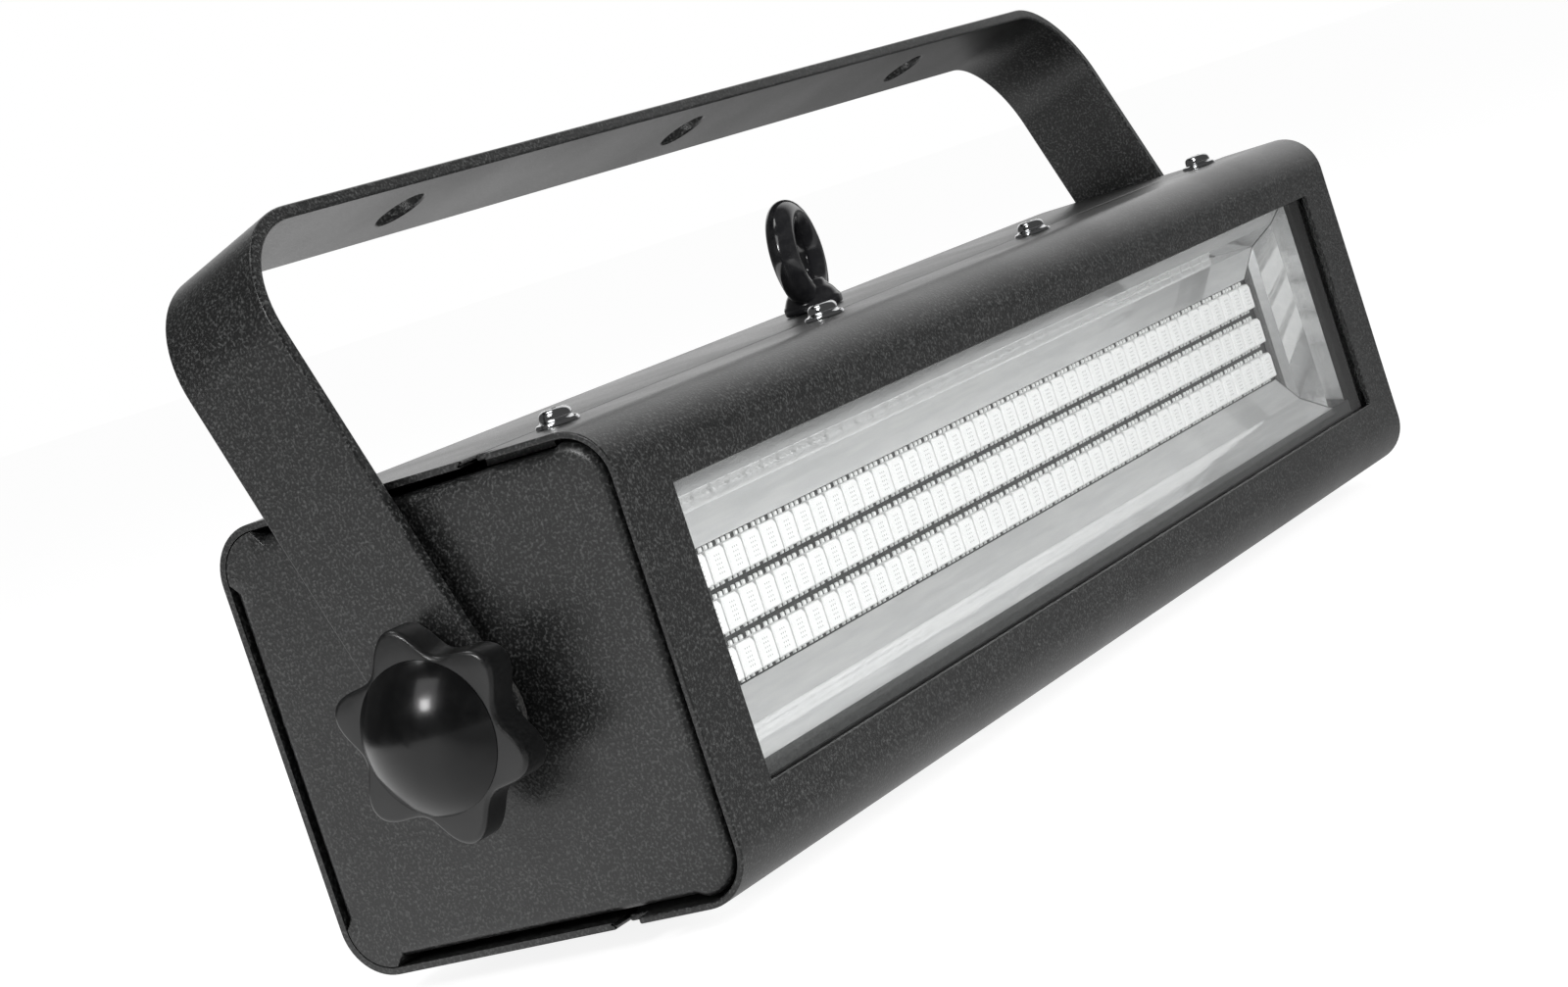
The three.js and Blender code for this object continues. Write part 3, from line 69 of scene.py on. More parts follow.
@dataclass
class Surface:
    """Corners in millimetres and four-sided faces by corner number."""

    corners: np.ndarray
    faces: np.ndarray

    @classmethod
    def net(cls, points: np.ndarray, keep: np.ndarray | None = None, ring: bool = False) -> "Surface":
        """Faces between the neighbours of a net of points.

        Args:
            points: rows x columns x 3 places.
            keep: (rows - 1) x (columns - 1) flags of the cells that are kept, all if None.
            ring: whether the last column meets the first one.

        Returns:
            The surface. Cell (i, j) lies between rows i, i + 1 and columns j, j + 1.
        """
        rows, columns = points.shape[:2]
        number = np.arange(rows * columns).reshape(rows, columns)
        if ring:
            number = np.concatenate([number, number[:, :1]], axis=1)
        cells = [number[:-1, :-1], number[:-1, 1:], number[1:, 1:], number[1:, :-1]]
        faces = np.stack(cells, axis=-1)
        faces = faces.reshape(-1, 4) if keep is None else faces[keep]
        return cls(points.reshape(-1, 3), faces)

    @classmethod
    def scaled(cls, outline: np.ndarray, levels: Sequence[tuple[float, float]]) -> "Surface":
        """Rings along Y: an outline in (X, Z) times the share at each (share, Y)."""
        return cls.net(np.stack([in_space(outline * share, "Y", y) for share, y in levels]), ring=True)

    def __add__(self, other: "Surface") -> "Surface":
        """Both surfaces as one."""
        faces = np.concatenate([self.faces, other.faces + len(self.corners)])
        return Surface(np.concatenate([self.corners, other.corners]), faces)

    def moved(self, *offset: float) -> "Surface":
        """The surface moved by an offset."""
        return Surface(self.corners + np.array(offset), self.faces)

    def turned(self, axis: str, degrees: float) -> "Surface":
        """The surface turned about one of the main axes, by the right-hand rule."""
        turn = np.array(Matrix.Rotation(math.radians(degrees), 3, axis))
        return Surface(self.corners @ turn.T, self.faces)

    def outward(self, centre: Sequence[float]) -> "Surface":
        """The surface with its faces turned away from a centre.

        Args:
            centre: a point that the surface stands round.

        Returns:
            The same surface, or its faces reversed where the sum of each face's area vector times its
            middle's offset from the centre is negative.
        """
        a, b, c, d = (self.corners[self.faces[:, i]] for i in range(4))
        area = np.cross(c - a, d - b)
        offset = (a + b + c + d) / 4 - np.array(centre)
        if (area * offset).sum() < 0:
            return Surface(self.corners, self.faces[:, ::-1])
        return self

    def copies(self, places: np.ndarray) -> "Surface":
        """One copy of the surface at each place.

        Args:
            places: n x 3 offsets.

        Returns:
            All the copies as one surface: each offset plus every corner.
        """
        corners = (places[:, None, :] + self.corners[None]).reshape(-1, 3)
        steps = (np.arange(len(places)) * len(self.corners))[:, None, None]
        return Surface(corners, (self.faces[None] + steps).reshape(-1, 4))

    def into_mesh(self, name: str, solid: bool) -> bpy.types.Mesh:
        """A mesh in metres in the shared frame, with shared corners merged.

        Args:
            name: the mesh's name.
            solid: whether it is closed, so that its faces can be turned outwards.

        Returns:
            The new mesh.
        """
        mesh = bpy.data.meshes.new(name)
        mesh.from_pydata((self.corners + ORIGIN) * MM, [], self.faces)
        work = bmesh.new()
        work.from_mesh(mesh)
        bmesh.ops.remove_doubles(work, verts=work.verts, dist=MERGE)
        loose = [corner for corner in work.verts if not corner.link_faces]
        bmesh.ops.delete(work, geom=loose, context="VERTS")
        if solid:
            bmesh.ops.recalc_face_normals(work, faces=work.faces)
        work.to_mesh(mesh)
        work.free()
        return mesh


def in_space(flat: np.ndarray, axis: str, level: np.ndarray | float) -> np.ndarray:
    """Points in space from points along the two other axes and a level along the named one."""
    return np.insert(flat, "XYZ".index(axis), level, axis=-1)


def between(places: np.ndarray) -> np.ndarray:
    """The middles between neighbouring places."""
    return (places[1:] + places[:-1]) / 2


def once_each(places: Sequence[float]) -> np.ndarray:
    """The places in order, where those that differ only by rounding stand once."""
    return np.unique(np.round(places, 6))


def around(steps: int) -> np.ndarray:
    """The angles of a full turn in even steps."""
    return TURN * np.arange(steps) / steps


def spaced(count: int, pitch: float) -> np.ndarray:
    """Places along a line, evenly spaced round zero."""
    return (np.arange(count) - (count - 1) / 2) * pitch


def grid(x: np.ndarray, z: np.ndarray) -> np.ndarray:
    """Every pair of a place along X and one along Z, as n x 2 points."""
    return np.stack(np.meshgrid(x, z), axis=-1).reshape(-1, 2)


def arc(u: float, v: float, radius: float, start: float, end: float, steps: int) -> np.ndarray:
    """Points of a circular arc round (u, v).

    Args:
        u: first coordinate of the centre.
        v: second coordinate of the centre.
        radius: radius of the arc.
        start: share of a turn at which it starts.
        end: share of a turn at which it ends.
        steps: number of chords.

    Returns:
        (steps + 1) x 2 points, centre plus radius times (cosine, sine).
    """
    angle = TURN * np.linspace(start, end, steps + 1)
    return np.stack([u + radius * np.cos(angle), v + radius * np.sin(angle)], axis=1)


def on_circle(points: np.ndarray, middle: Sequence[float], radius: float) -> np.ndarray:
    """A circle's points in the directions in which the given points lie from its middle."""
    ray = points - np.array(middle)
    return middle + ray / np.linalg.norm(ray, axis=1)[:, None] * radius


def blended(start: np.ndarray, end: np.ndarray, shares: Sequence[float]) -> np.ndarray:
    """Rings between two rings: (1 - t) times the first plus t times the second for each share t."""
    t = np.array(shares)[:, None, None]
    return (1 - t) * start + t * end


def lathe(profile: Sequence[Sequence[float]], along: str, steps: int) -> Surface:
    """A turned solid: a profile of (radius, height) carried round an axis.

    Args:
        profile: the profile from one end of the axis to the other.
        along: "X", "Y" or "Z".
        steps: number of faces round the axis.

    Returns:
        The surface. A point is height along the axis, and radius times (cosine, sine) across it.
    """
    radius, height = np.array(profile, dtype=float).T
    angle = around(steps)
    across = radius[:, None, None] * np.stack([np.cos(angle), np.sin(angle)], axis=1)
    return Surface.net(in_space(across, along, height[:, None]), ring=True)


def softened(profile: Sequence[Sequence[float]], radius: float, steps: int = 3) -> np.ndarray:
    """Rounds the inner corners of a profile.

    Args:
        profile: the profile's points.
        radius: how far from a corner the rounding starts, as far as the shorter side leaves room.
        steps: number of chords at each corner.

    Returns:
        The points. At a corner B between A and C they follow the curve (1-t)^2 P + 2t(1-t) B + t^2 Q,
        with P and Q on the two sides.
    """
    points = np.array(profile, dtype=float)
    before, corner, after = points[:-2], points[1:-1], points[2:]
    to_before = np.linalg.norm(before - corner, axis=1)[:, None]
    to_after = np.linalg.norm(after - corner, axis=1)[:, None]
    reach = np.minimum(radius, SOFT_SHARE * np.minimum(to_before, to_after))
    start = corner + (before - corner) / to_before * reach
    end = corner + (after - corner) / to_after * reach
    t = np.linspace(0, 1, steps + 1)[None, :, None]
    bends = (1 - t) ** 2 * start[:, None] + 2 * t * (1 - t) * corner[:, None] + t**2 * end[:, None]
    return np.concatenate([points[:1], bends.reshape(-1, points.shape[1]), points[-1:]])


def within(lines: np.ndarray, middle: float, half: float) -> np.ndarray:
    """The lines from middle - half to middle + half."""
    return lines[np.abs(lines - middle) < half + HAIR]


def holed_square(
    u: np.ndarray, v: np.ndarray, middle: Sequence[float], radius: float, rings: int
) -> np.ndarray:
    """A net between a round hole and the square round it.

    Args:
        u: the sheet's lines across the square, from one side to the other.
        v: the sheet's lines in the other direction.
        middle: the hole's middle.
        radius: radius of the hole.
        rings: number of cells from the hole to the square.

    Returns:
        (rings + 1) x n x 2 points, with one column for each place where a line meets the border.
    """
    sides = (
        (np.full(len(v) - 1, u[-1]), v[:-1]),
        (u[:0:-1], np.full(len(u) - 1, v[-1])),
        (np.full(len(v) - 1, u[0]), v[:0:-1]),
        (u[:-1], np.full(len(u) - 1, v[0])),
    )
    border = np.concatenate([np.stack(side, axis=1) for side in sides])
    return blended(on_circle(border, middle, radius), border, np.linspace(0, 1, rings + 1))


# Finishes


class Bench:
    """Lays out the nodes of one tree."""

    def __init__(self, tree: bpy.types.NodeTree) -> None:
        """Takes a tree and empties it."""
        self.tree = tree
        tree.nodes.clear()

    def add(self, kind: str, inputs: dict[str | int, object] | None = None, **settings: object) -> Node:
        """Adds a node.

        Args:
            kind: the node's type, without the leading "ShaderNode".
            inputs: values or output sockets by input name or number.
            **settings: the node's own properties.

        Returns:
            The node.
        """
        node = self.tree.nodes.new("ShaderNode" + kind)
        for key, value in settings.items():
            setattr(node, key, value)
        for key, value in (inputs or {}).items():
            socket = node.inputs[key]
            if isinstance(value, Socket):
                self.tree.links.new(value, socket)
            else:
                socket.default_value = value
        return node

    def math(self, operation: str, *values: object) -> Socket:
        """The result of an operation on one to three values or sockets."""
        return self.add("Math", dict(enumerate(values)), operation=operation).outputs[0]

    def mix(self, share: Socket, first: object, second: object) -> Socket:
        """The first value where the share is 0 and the second one where it is 1."""
        return self.add("Mix", {"Factor": share, "A": first, "B": second}, data_type="FLOAT").outputs[0]

    def vector(self, operation: str, first: Socket, second: Colour) -> Socket:
        """The number that an operation on two vectors gives."""
        return self.add("VectorMath", {0: first, 1: second}, operation=operation).outputs["Value"]

    def noise(self, size: float, detail: float, stretch: Sequence[float] = (1, 1, 1)) -> Socket:
        """Noise on object coordinates.

        Args:
            size: the grain's size in millimetres.
            detail: how many finer octaves are added.
            stretch: how much longer the grain is along each axis.

        Returns:
            The noise, about 0.5 on average.
        """
        place = self.add("TexCoord").outputs["Object"]
        scale = tuple(1 / value for value in stretch)
        mapped = self.add("Mapping", {"Vector": place, "Scale": scale}).outputs["Vector"]
        inputs = {"Vector": mapped, "Scale": 1 / (size * MM), "Detail": detail}
        return self.add("TexNoise", inputs).outputs["Fac"]

    def spread(self, value: Socket, *limits: float) -> Socket:
        """Maps a value from limits 0 and 1 to limits 2 and 3, and holds it between them."""
        names = ("From Min", "From Max", "To Min", "To Max")
        return self.add("MapRange", {"Value": value, **dict(zip(names, limits))}).outputs["Result"]

    def ramp(self, value: Socket, *stops: tuple[float, Colour]) -> Socket:
        """A colour that runs from one stop to the other as a value grows.

        Args:
            value: what the colour follows.
            *stops: two stops of a value and a colour.

        Returns:
            The colour.
        """
        node = self.add("ValToRGB", {"Fac": value})
        for element, (place, colour) in zip(node.color_ramp.elements, stops):
            element.position = place
            element.color = (*colour, 1.0)
        return node.outputs["Color"]

    def bump(self, height: Socket, relief: float, strength: float) -> Socket:
        """A normal from a height of that many millimetres."""
        inputs = {"Height": height, "Distance": relief * MM, "Strength": strength}
        return self.add("Bump", inputs).outputs["Normal"]


def painted(name: str, shader: Callable[[Bench], Node]) -> bpy.types.Material:
    """A material, made once.

    Args:
        name: the material's name.
        shader: lays out its nodes and returns the last one.

    Returns:
        The material of that name.
    """
    material = bpy.data.materials.get(name)
    if material is None:
        material = bpy.data.materials.new(name)
        material.use_nodes = True
        bench = Bench(material.node_tree)
        bench.add("OutputMaterial", {"Surface": shader(bench).outputs[0]})
    return material


@dataclass(frozen=True)
class Finish:
    """A finish that a fine grain and broad clouds vary."""

    name: str
    slot: str
    dark: Colour
    light: Colour
    roughness: tuple[float, float]
    grain: float = 0.3  # millimetres
    detail: float = 2.0
    specks: tuple[float, float] = (0.4, 0.7)  # noise at which the colour starts and ends its change
    clouds: float = 30.0  # millimetres
    cloud_detail: float = 3.0
    sway: tuple[float, float] = (0.75, 1.25)  # sum of both noises over which the roughness changes
    relief: float = 0.02  # millimetres
    relief_strength: float = 0.4
    metallic: float = 0.0
    specular: float = 0.5
    coat: float = 0.0
    coat_roughness: float = 0.03
    stretch: tuple[float, float, float] = (1.0, 1.0, 1.0)

    def shader(self, bench: Bench) -> Node:
        """Lays out the finish.

        Args:
            bench: where its nodes go.

        Returns:
            A shader whose colour follows the grain, and whose roughness follows grain and clouds.
        """
        grain = bench.noise(self.grain, self.detail, self.stretch)
        both = bench.math("ADD", grain, bench.noise(self.clouds, self.cloud_detail))
        inputs = {
            "Base Color": bench.ramp(grain, (self.specks[0], self.dark), (self.specks[1], self.light)),
            "Roughness": bench.spread(both, *self.sway, *self.roughness),
            "Metallic": self.metallic,
            "Specular IOR Level": self.specular,
            "Coat Weight": self.coat,
            "Coat Roughness": self.coat_roughness,
            "Normal": bench.bump(grain, self.relief, self.relief_strength),
        }
        return bench.add("BsdfPrincipled", inputs)


@dataclass(frozen=True)
class PaneFinish:
    """Clear or tinted sheet that mirrors a little and shows what is behind it."""

    name: str
    slot: str
    tint: Colour
    smear: float = 40.0  # millimetres
    smear_detail: float = 4.0
    smear_stretch: tuple[float, float, float] = (3.0, 1.0, 1.0)
    sway: tuple[float, float] = (0.35, 0.75)  # noise over which the roughness changes
    roughness: tuple[float, float] = (0.015, 0.07)
    slant_power: float = 4.0
    gloss: tuple[float, float] = (0.03, 0.9)  # its share straight on and along the sheet

    def shader(self, bench: Bench) -> Node:
        """Lays out the finish.

        Args:
            bench: where its nodes go.

        Returns:
            A see-through shader under a gloss whose share follows the angle, with faint smears.
        """
        smears = bench.noise(self.smear, self.smear_detail, self.smear_stretch)
        rough = bench.spread(smears, *self.sway, *self.roughness)
        gloss = bench.add("BsdfPrincipled", {"Base Color": WHITE, "Metallic": 1.0, "Roughness": rough})
        clear = bench.add("BsdfTransparent", {"Color": (*self.tint, 1)})
        slant = bench.add("LayerWeight", {"Blend": 0.5}).outputs["Facing"]
        share = bench.spread(bench.math("POWER", slant, self.slant_power), 0.0, 1.0, *self.gloss)
        return bench.add("MixShader", {0: share, 1: clear.outputs[0], 2: gloss.outputs[0]})


@dataclass(frozen=True)
class PackageFinish:
    """White packages with a faint pattern of chips in the middle of each."""

    name: str
    slot: str
    body: Colour
    chip: Colour
    pitch: tuple[float, float]
    first: tuple[float, float]  # a package's middle in the shared frame, in millimetres
    reach: tuple[float, float] = (0.95, 1.7)  # half the pattern's width and height
    chips: tuple[int, int] = (3, 5)
    blur: float = 0.1  # how far from its border the pattern starts to fade
    crest: float = 0.8  # height of a wave from which the pattern is full
    dust: float = 0.12  # share of the chips' colour where dust lies thickest
    dust_grain: float = 0.8  # millimetres
    dust_detail: float = 3.0
    dust_sway: tuple[float, float] = (0.3, 0.7)  # noise at which the dust starts and is thickest
    roughness: tuple[float, float] = (0.35, 0.2)

    def shader(self, bench: Bench) -> Node:
        """Lays out the finish.

        Args:
            bench: where its nodes go.

        Returns:
            White, mixed with the chips' colour where two waves across a package are both high and the
            point is near the package's middle, and with a little dust.
        """
        place = bench.add("SeparateXYZ", {0: bench.add("TexCoord").outputs["Object"]}).outputs
        marks = []
        for axis, pitch, first, reach, count in zip("XZ", self.pitch, self.first, self.reach, self.chips):
            cell = bench.math("MULTIPLY_ADD", place[axis], 1 / (pitch * MM), 0.5 - first / pitch)
            offset = bench.math("MULTIPLY_ADD", bench.math("FRACT", cell), pitch, -pitch / 2)
            away = bench.math("ABSOLUTE", offset)
            inside = bench.spread(away, reach - self.blur, reach + self.blur, 1.0, 0.0)
            wave = bench.math("COSINE", bench.math("MULTIPLY", offset, TURN * count / (2 * reach)))
            marks.append(bench.math("MULTIPLY", inside, bench.spread(wave, 0.0, self.crest, 0.0, 1.0)))
        dust = bench.spread(bench.noise(self.dust_grain, self.dust_detail), *self.dust_sway, 0.0, self.dust)
        share = bench.math("MAXIMUM", bench.math("MULTIPLY", *marks), dust)
        colour = bench.ramp(share, (0.0, self.body), (1.0, self.chip))
        rough = bench.spread(share, 0.0, 1.0, *self.roughness)
        return bench.add("BsdfPrincipled", {"Base Color": colour, "Roughness": rough})


AnyFinish = Finish | PaneFinish | PackageFinish

POWDER = Finish(
    "powder coat", "housing_paint", dark=(0.007, 0.0072, 0.0072), light=(0.085, 0.087, 0.086),
    roughness=(0.3, 0.44), grain=0.42, detail=3.5, specks=(0.5, 0.8), relief=0.07, relief_strength=0.8,
    coat=0.26, coat_roughness=0.26,
)
GLOSS_PAINT = Finish(
    "gloss paint", "eyebolt_paint", dark=(0.008, 0.008, 0.009), light=(0.014, 0.014, 0.015),
    roughness=(0.12, 0.22), grain=1.4, relief=0.03, relief_strength=0.12, coat=0.6,
)
KNOB_PLASTIC = Finish(
    "knob plastic", "knob_plastic", dark=(0.0026, 0.0027, 0.0028), light=(0.0045, 0.0046, 0.0047),
    roughness=(0.13, 0.24), grain=3.0, clouds=9.0, relief=0.01, relief_strength=0.1, specular=0.3,
    coat=0.15, coat_roughness=0.1,
)
KNOB_FACE = Finish(
    "satin knob plastic", "knob_plastic", dark=(0.003, 0.0031, 0.0032), light=(0.006, 0.0061, 0.0062),
    roughness=(0.34, 0.48), grain=0.5, clouds=9.0, relief=0.01, relief_strength=0.15, specular=0.5,
    coat=0.3, coat_roughness=0.16,
)
BUTTON_PLASTIC = Finish(
    "button plastic", "button_plastic", dark=(0.016, 0.016, 0.017), light=(0.026, 0.026, 0.027),
    roughness=(0.25, 0.4), grain=0.25, relief=0.008,
)
SOCKET_PLASTIC = Finish(
    "socket plastic", "socket_plastic", dark=(0.014, 0.014, 0.015), light=(0.03, 0.03, 0.031),
    roughness=(0.45, 0.62), grain=0.22, relief=0.012,
)
FIBRE = Finish(
    "washer fibre", "washer_fibre", dark=(0.018, 0.018, 0.018), light=(0.045, 0.044, 0.042),
    roughness=(0.7, 0.9), grain=0.4, relief=0.03,
)
RUBBER = Finish(
    "seal rubber", "seal_rubber", dark=(0.009, 0.009, 0.009), light=(0.022, 0.022, 0.022),
    roughness=(0.7, 0.88), grain=0.35,
)
SEAL_TAPE = Finish(
    "grey seal tape", "seal_rubber", dark=(0.04, 0.041, 0.041), light=(0.075, 0.076, 0.076),
    roughness=(0.5, 0.7), grain=0.4,
)
CHROME = Finish(
    "chrome", "chrome", dark=(0.62, 0.63, 0.64), light=(0.82, 0.83, 0.84), roughness=(0.14, 0.26),
    grain=0.8, relief=0.01, relief_strength=0.15, metallic=1.0,
)
ZINC = Finish(
    "zinc plate", "zinc_steel", dark=(0.42, 0.43, 0.45), light=(0.66, 0.67, 0.68), roughness=(0.24, 0.42),
    grain=1.1, relief=0.015, relief_strength=0.3, metallic=1.0,
)
ALUMINIUM = Finish(
    "mill aluminium", "chassis_aluminium", dark=(0.46, 0.47, 0.48), light=(0.62, 0.63, 0.64),
    roughness=(0.28, 0.45), relief=0.01, metallic=1.0, stretch=(40.0, 1.0, 1.0),
)
MIRROR = Finish(
    "mirror sheet", "reflector_mirror", dark=(0.83, 0.835, 0.84), light=(0.92, 0.92, 0.92),
    roughness=(0.02, 0.08), grain=1.2, relief=0.002, relief_strength=0.05, metallic=0.58,
    stretch=(12.0, 1.0, 1.0),
)
END_MIRROR = replace(MIRROR, name="end mirror sheet", metallic=0.92)
PACKAGE_WHITE = PackageFinish(
    "package white", "led_white", body=(0.93, 0.93, 0.93), chip=(0.42, 0.42, 0.42), pitch=(5.46, 7.14),
    first=(2.73, 37.7),
)
SOLDER_MASK = Finish(
    "black solder mask", "led_white", dark=(0.018, 0.019, 0.019), light=(0.045, 0.046, 0.046),
    roughness=(0.3, 0.5), grain=0.9,
)
SOLDER = Finish(
    "solder", "led_white", dark=(0.8, 0.81, 0.81), light=(0.95, 0.95, 0.94), roughness=(0.3, 0.5),
    grain=0.4, metallic=0.1,
)
CIRCUIT = Finish(
    "green solder mask", "circuit_green", dark=(0.012, 0.06, 0.025), light=(0.03, 0.12, 0.05),
    roughness=(0.3, 0.5), grain=1.6,
)
CABLE = Finish(
    "cable sheath", "cable_rubber", dark=(0.012, 0.012, 0.013), light=(0.026, 0.026, 0.027),
    roughness=(0.45, 0.6), grain=0.4,
)
CLEAR_GLASS = PaneFinish("clear glass", "clear_glass", (0.99, 0.994, 0.992))
SMOKED_GLASS = PaneFinish("smoked window", "smoked_glass", (0.16, 0.03, 0.03))


# Pieces


@dataclass(frozen=True)
class Craft:
    """How a mesh becomes a piece."""

    solid: bool = True  # closed, so that its faces can be turned outwards
    wall: float = 0.0  # sheet thickness that is added inwards
    edge: float = 0.0  # width of the rounding along sharp edges
    edge_steps: int = 2
    crease: float = 35.0  # degrees from which an edge is sharp

    def shape(self, piece: bpy.types.Object) -> None:
        """Gives a piece smooth faces, its wall and its rounded edges.

        Args:
            piece: the object.
        """
        crease = math.radians(self.crease)
        piece.data.shade_smooth()
        piece.data.set_sharp_from_angle(angle=crease)
        if self.wall:
            wall = piece.modifiers.new("wall", "SOLIDIFY")
            wall.thickness = self.wall * MM
            wall.offset = -1
            wall.use_even_offset = True
        if self.edge:
            edge = piece.modifiers.new("edge", "BEVEL")
            edge.width = self.edge * MM
            edge.segments = self.edge_steps
            edge.limit_method = "ANGLE"
            edge.angle_limit = crease
            edge.harden_normals = True


def add_piece(
    name: str,
    shape: Surface | bpy.types.Mesh,
    finish: AnyFinish,
    node: str,
    body: str = "housing",
    craft: Craft = Craft(),
) -> None:
    """Makes a piece that rides on a body and stands for a CAD node.

    Args:
        name: the piece's name.
        shape: its surface, or its mesh in the shared frame.
        finish: what it is finished with.
        node: the CAD node that it replaces, or none if empty.
        body: the body that it moves with.
        craft: how it is made.
    """
    mesh = shape.into_mesh(name, craft.solid) if isinstance(shape, Surface) else shape
    piece = bpy.data.objects.new(name, mesh)
    bpy.context.scene.collection.objects.link(piece)
    mesh.materials.clear()
    mesh.materials.append(painted(finish.name, finish.shader))
    craft.shape(piece)
    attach(piece, body)
    if node:
        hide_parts(node)
    LOG.info("%s: %d corners, %d faces, on %s", name, len(mesh.vertices), len(mesh.polygons), body)


def soften_node(node: str, finish: AnyFinish, edge: float, body: str = "housing") -> None:
    """Replaces a CAD node by its own shape with merged corners and rounded edges.

    Args:
        node: the node's name.
        finish: what it is finished with.
        edge: width of the rounding in millimetres.
        body: the body that it moves with.
    """
    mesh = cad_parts[node].data.copy()
    work = bmesh.new()
    work.from_mesh(mesh)
    bmesh.ops.remove_doubles(work, verts=work.verts, dist=MERGE)
    flat = math.radians(1)
    bmesh.ops.dissolve_limit(work, angle_limit=flat, verts=work.verts, edges=work.edges)
    work.to_mesh(mesh)
    work.free()
    add_piece(f"{node}_formed", mesh, finish, node, body, Craft(edge=edge, crease=30.0))


def dress_nodes(finish: AnyFinish, *nodes: str) -> None:
    """Gives CAD nodes a finish and keeps their shapes.

    Args:
        finish: what they are finished with.
        *nodes: the nodes' names.
    """
    for node in nodes:
        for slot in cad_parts[node].material_slots:
            slot.material = painted(finish.name, finish.shader)
        LOG.info("%s: %s", node, finish.name)


# Housing


@dataclass
class RearPanel:
    """Sockets, display and buttons in the rear wall."""

    display_x: float = -42.0
    display_z: float = 42.5
    display_width: float = 32.0
    display_height: float = 13.0
    buttons: int = 4
    button_pitch: float = 12.0
    button_z: float = 24.0
    cap: Profile = (  # along Y; its foot clears the switch's plunger by the cap's travel
        (0, 29.55), (3.0, 29.55), (3.0, 32.9), (4.0, 32.9), (4.0, 33.9),
        (3.0, 33.9), (3.0, 36.55), (2.4, 36.6), (0.9, 36.4), (0, 36.38),
    )
    cap_soft: float = 0.3
    cap_steps: int = 40
    cell: float = 4.0  # half the square of sheet round a button's hole
    sides: int = 6
    rings: int = 3
    button_hole: float = 3.2
    socket_x: tuple[float, float] = (-90.0, -120.0)
    socket_hole: float = 9.0
    inlet_x: float = 100.0
    inlet_width: float = 27.4
    inlet_height: float = 31.4

    def __post_init__(self) -> None:
        """Works out the buttons' places."""
        self.button_x = self.display_x + spaced(self.buttons, self.button_pitch)

    def holes(self, axis: float) -> list[tuple[float, float, float, float]]:
        """The rear wall's cut-outs.

        Args:
            axis: height of the sockets' and the inlet's middles.

        Returns:
            For each cut-out its middle's X and Z, half its width and half its height.
        """
        return [
            (self.display_x, self.display_z, self.display_width / 2, self.display_height / 2),
            (self.inlet_x, axis, self.inlet_width / 2, self.inlet_height / 2),
            *[(x, axis, self.socket_hole, self.socket_hole) for x in self.socket_x],
            *[(x, self.button_z, self.cell, self.cell) for x in self.button_x],
        ]

    def lines(self, middle: float | np.ndarray) -> np.ndarray:
        """The sheet's lines across a button's square, round one middle or several."""
        return np.linspace(middle - self.cell, middle + self.cell, self.sides + 1)

    def build(self) -> None:
        """Builds the panel's pieces."""
        cap = lathe(softened(self.cap, self.cap_soft), "Y", self.cap_steps)
        for i, x in enumerate(self.button_x, start=1):
            button = f"button_{i}"
            add_piece(f"button_cap_{i}", cap.moved(x, 0, self.button_z), BUTTON_PLASTIC, button, button)
        soften_node("mains_inlet", SOCKET_PLASTIC, edge=0.25)
        soften_node("fuse_drawer", SOCKET_PLASTIC, edge=0.25, body="fuse_drawer")
        soften_node("data_in_socket", SOCKET_PLASTIC, edge=0.15)
        soften_node("data_out_socket", SOCKET_PLASTIC, edge=0.15)
        soften_node("data_out_latch", ZINC, edge=0.2, body="data_out_latch")
        dress_nodes(SMOKED_GLASS, "display_window")


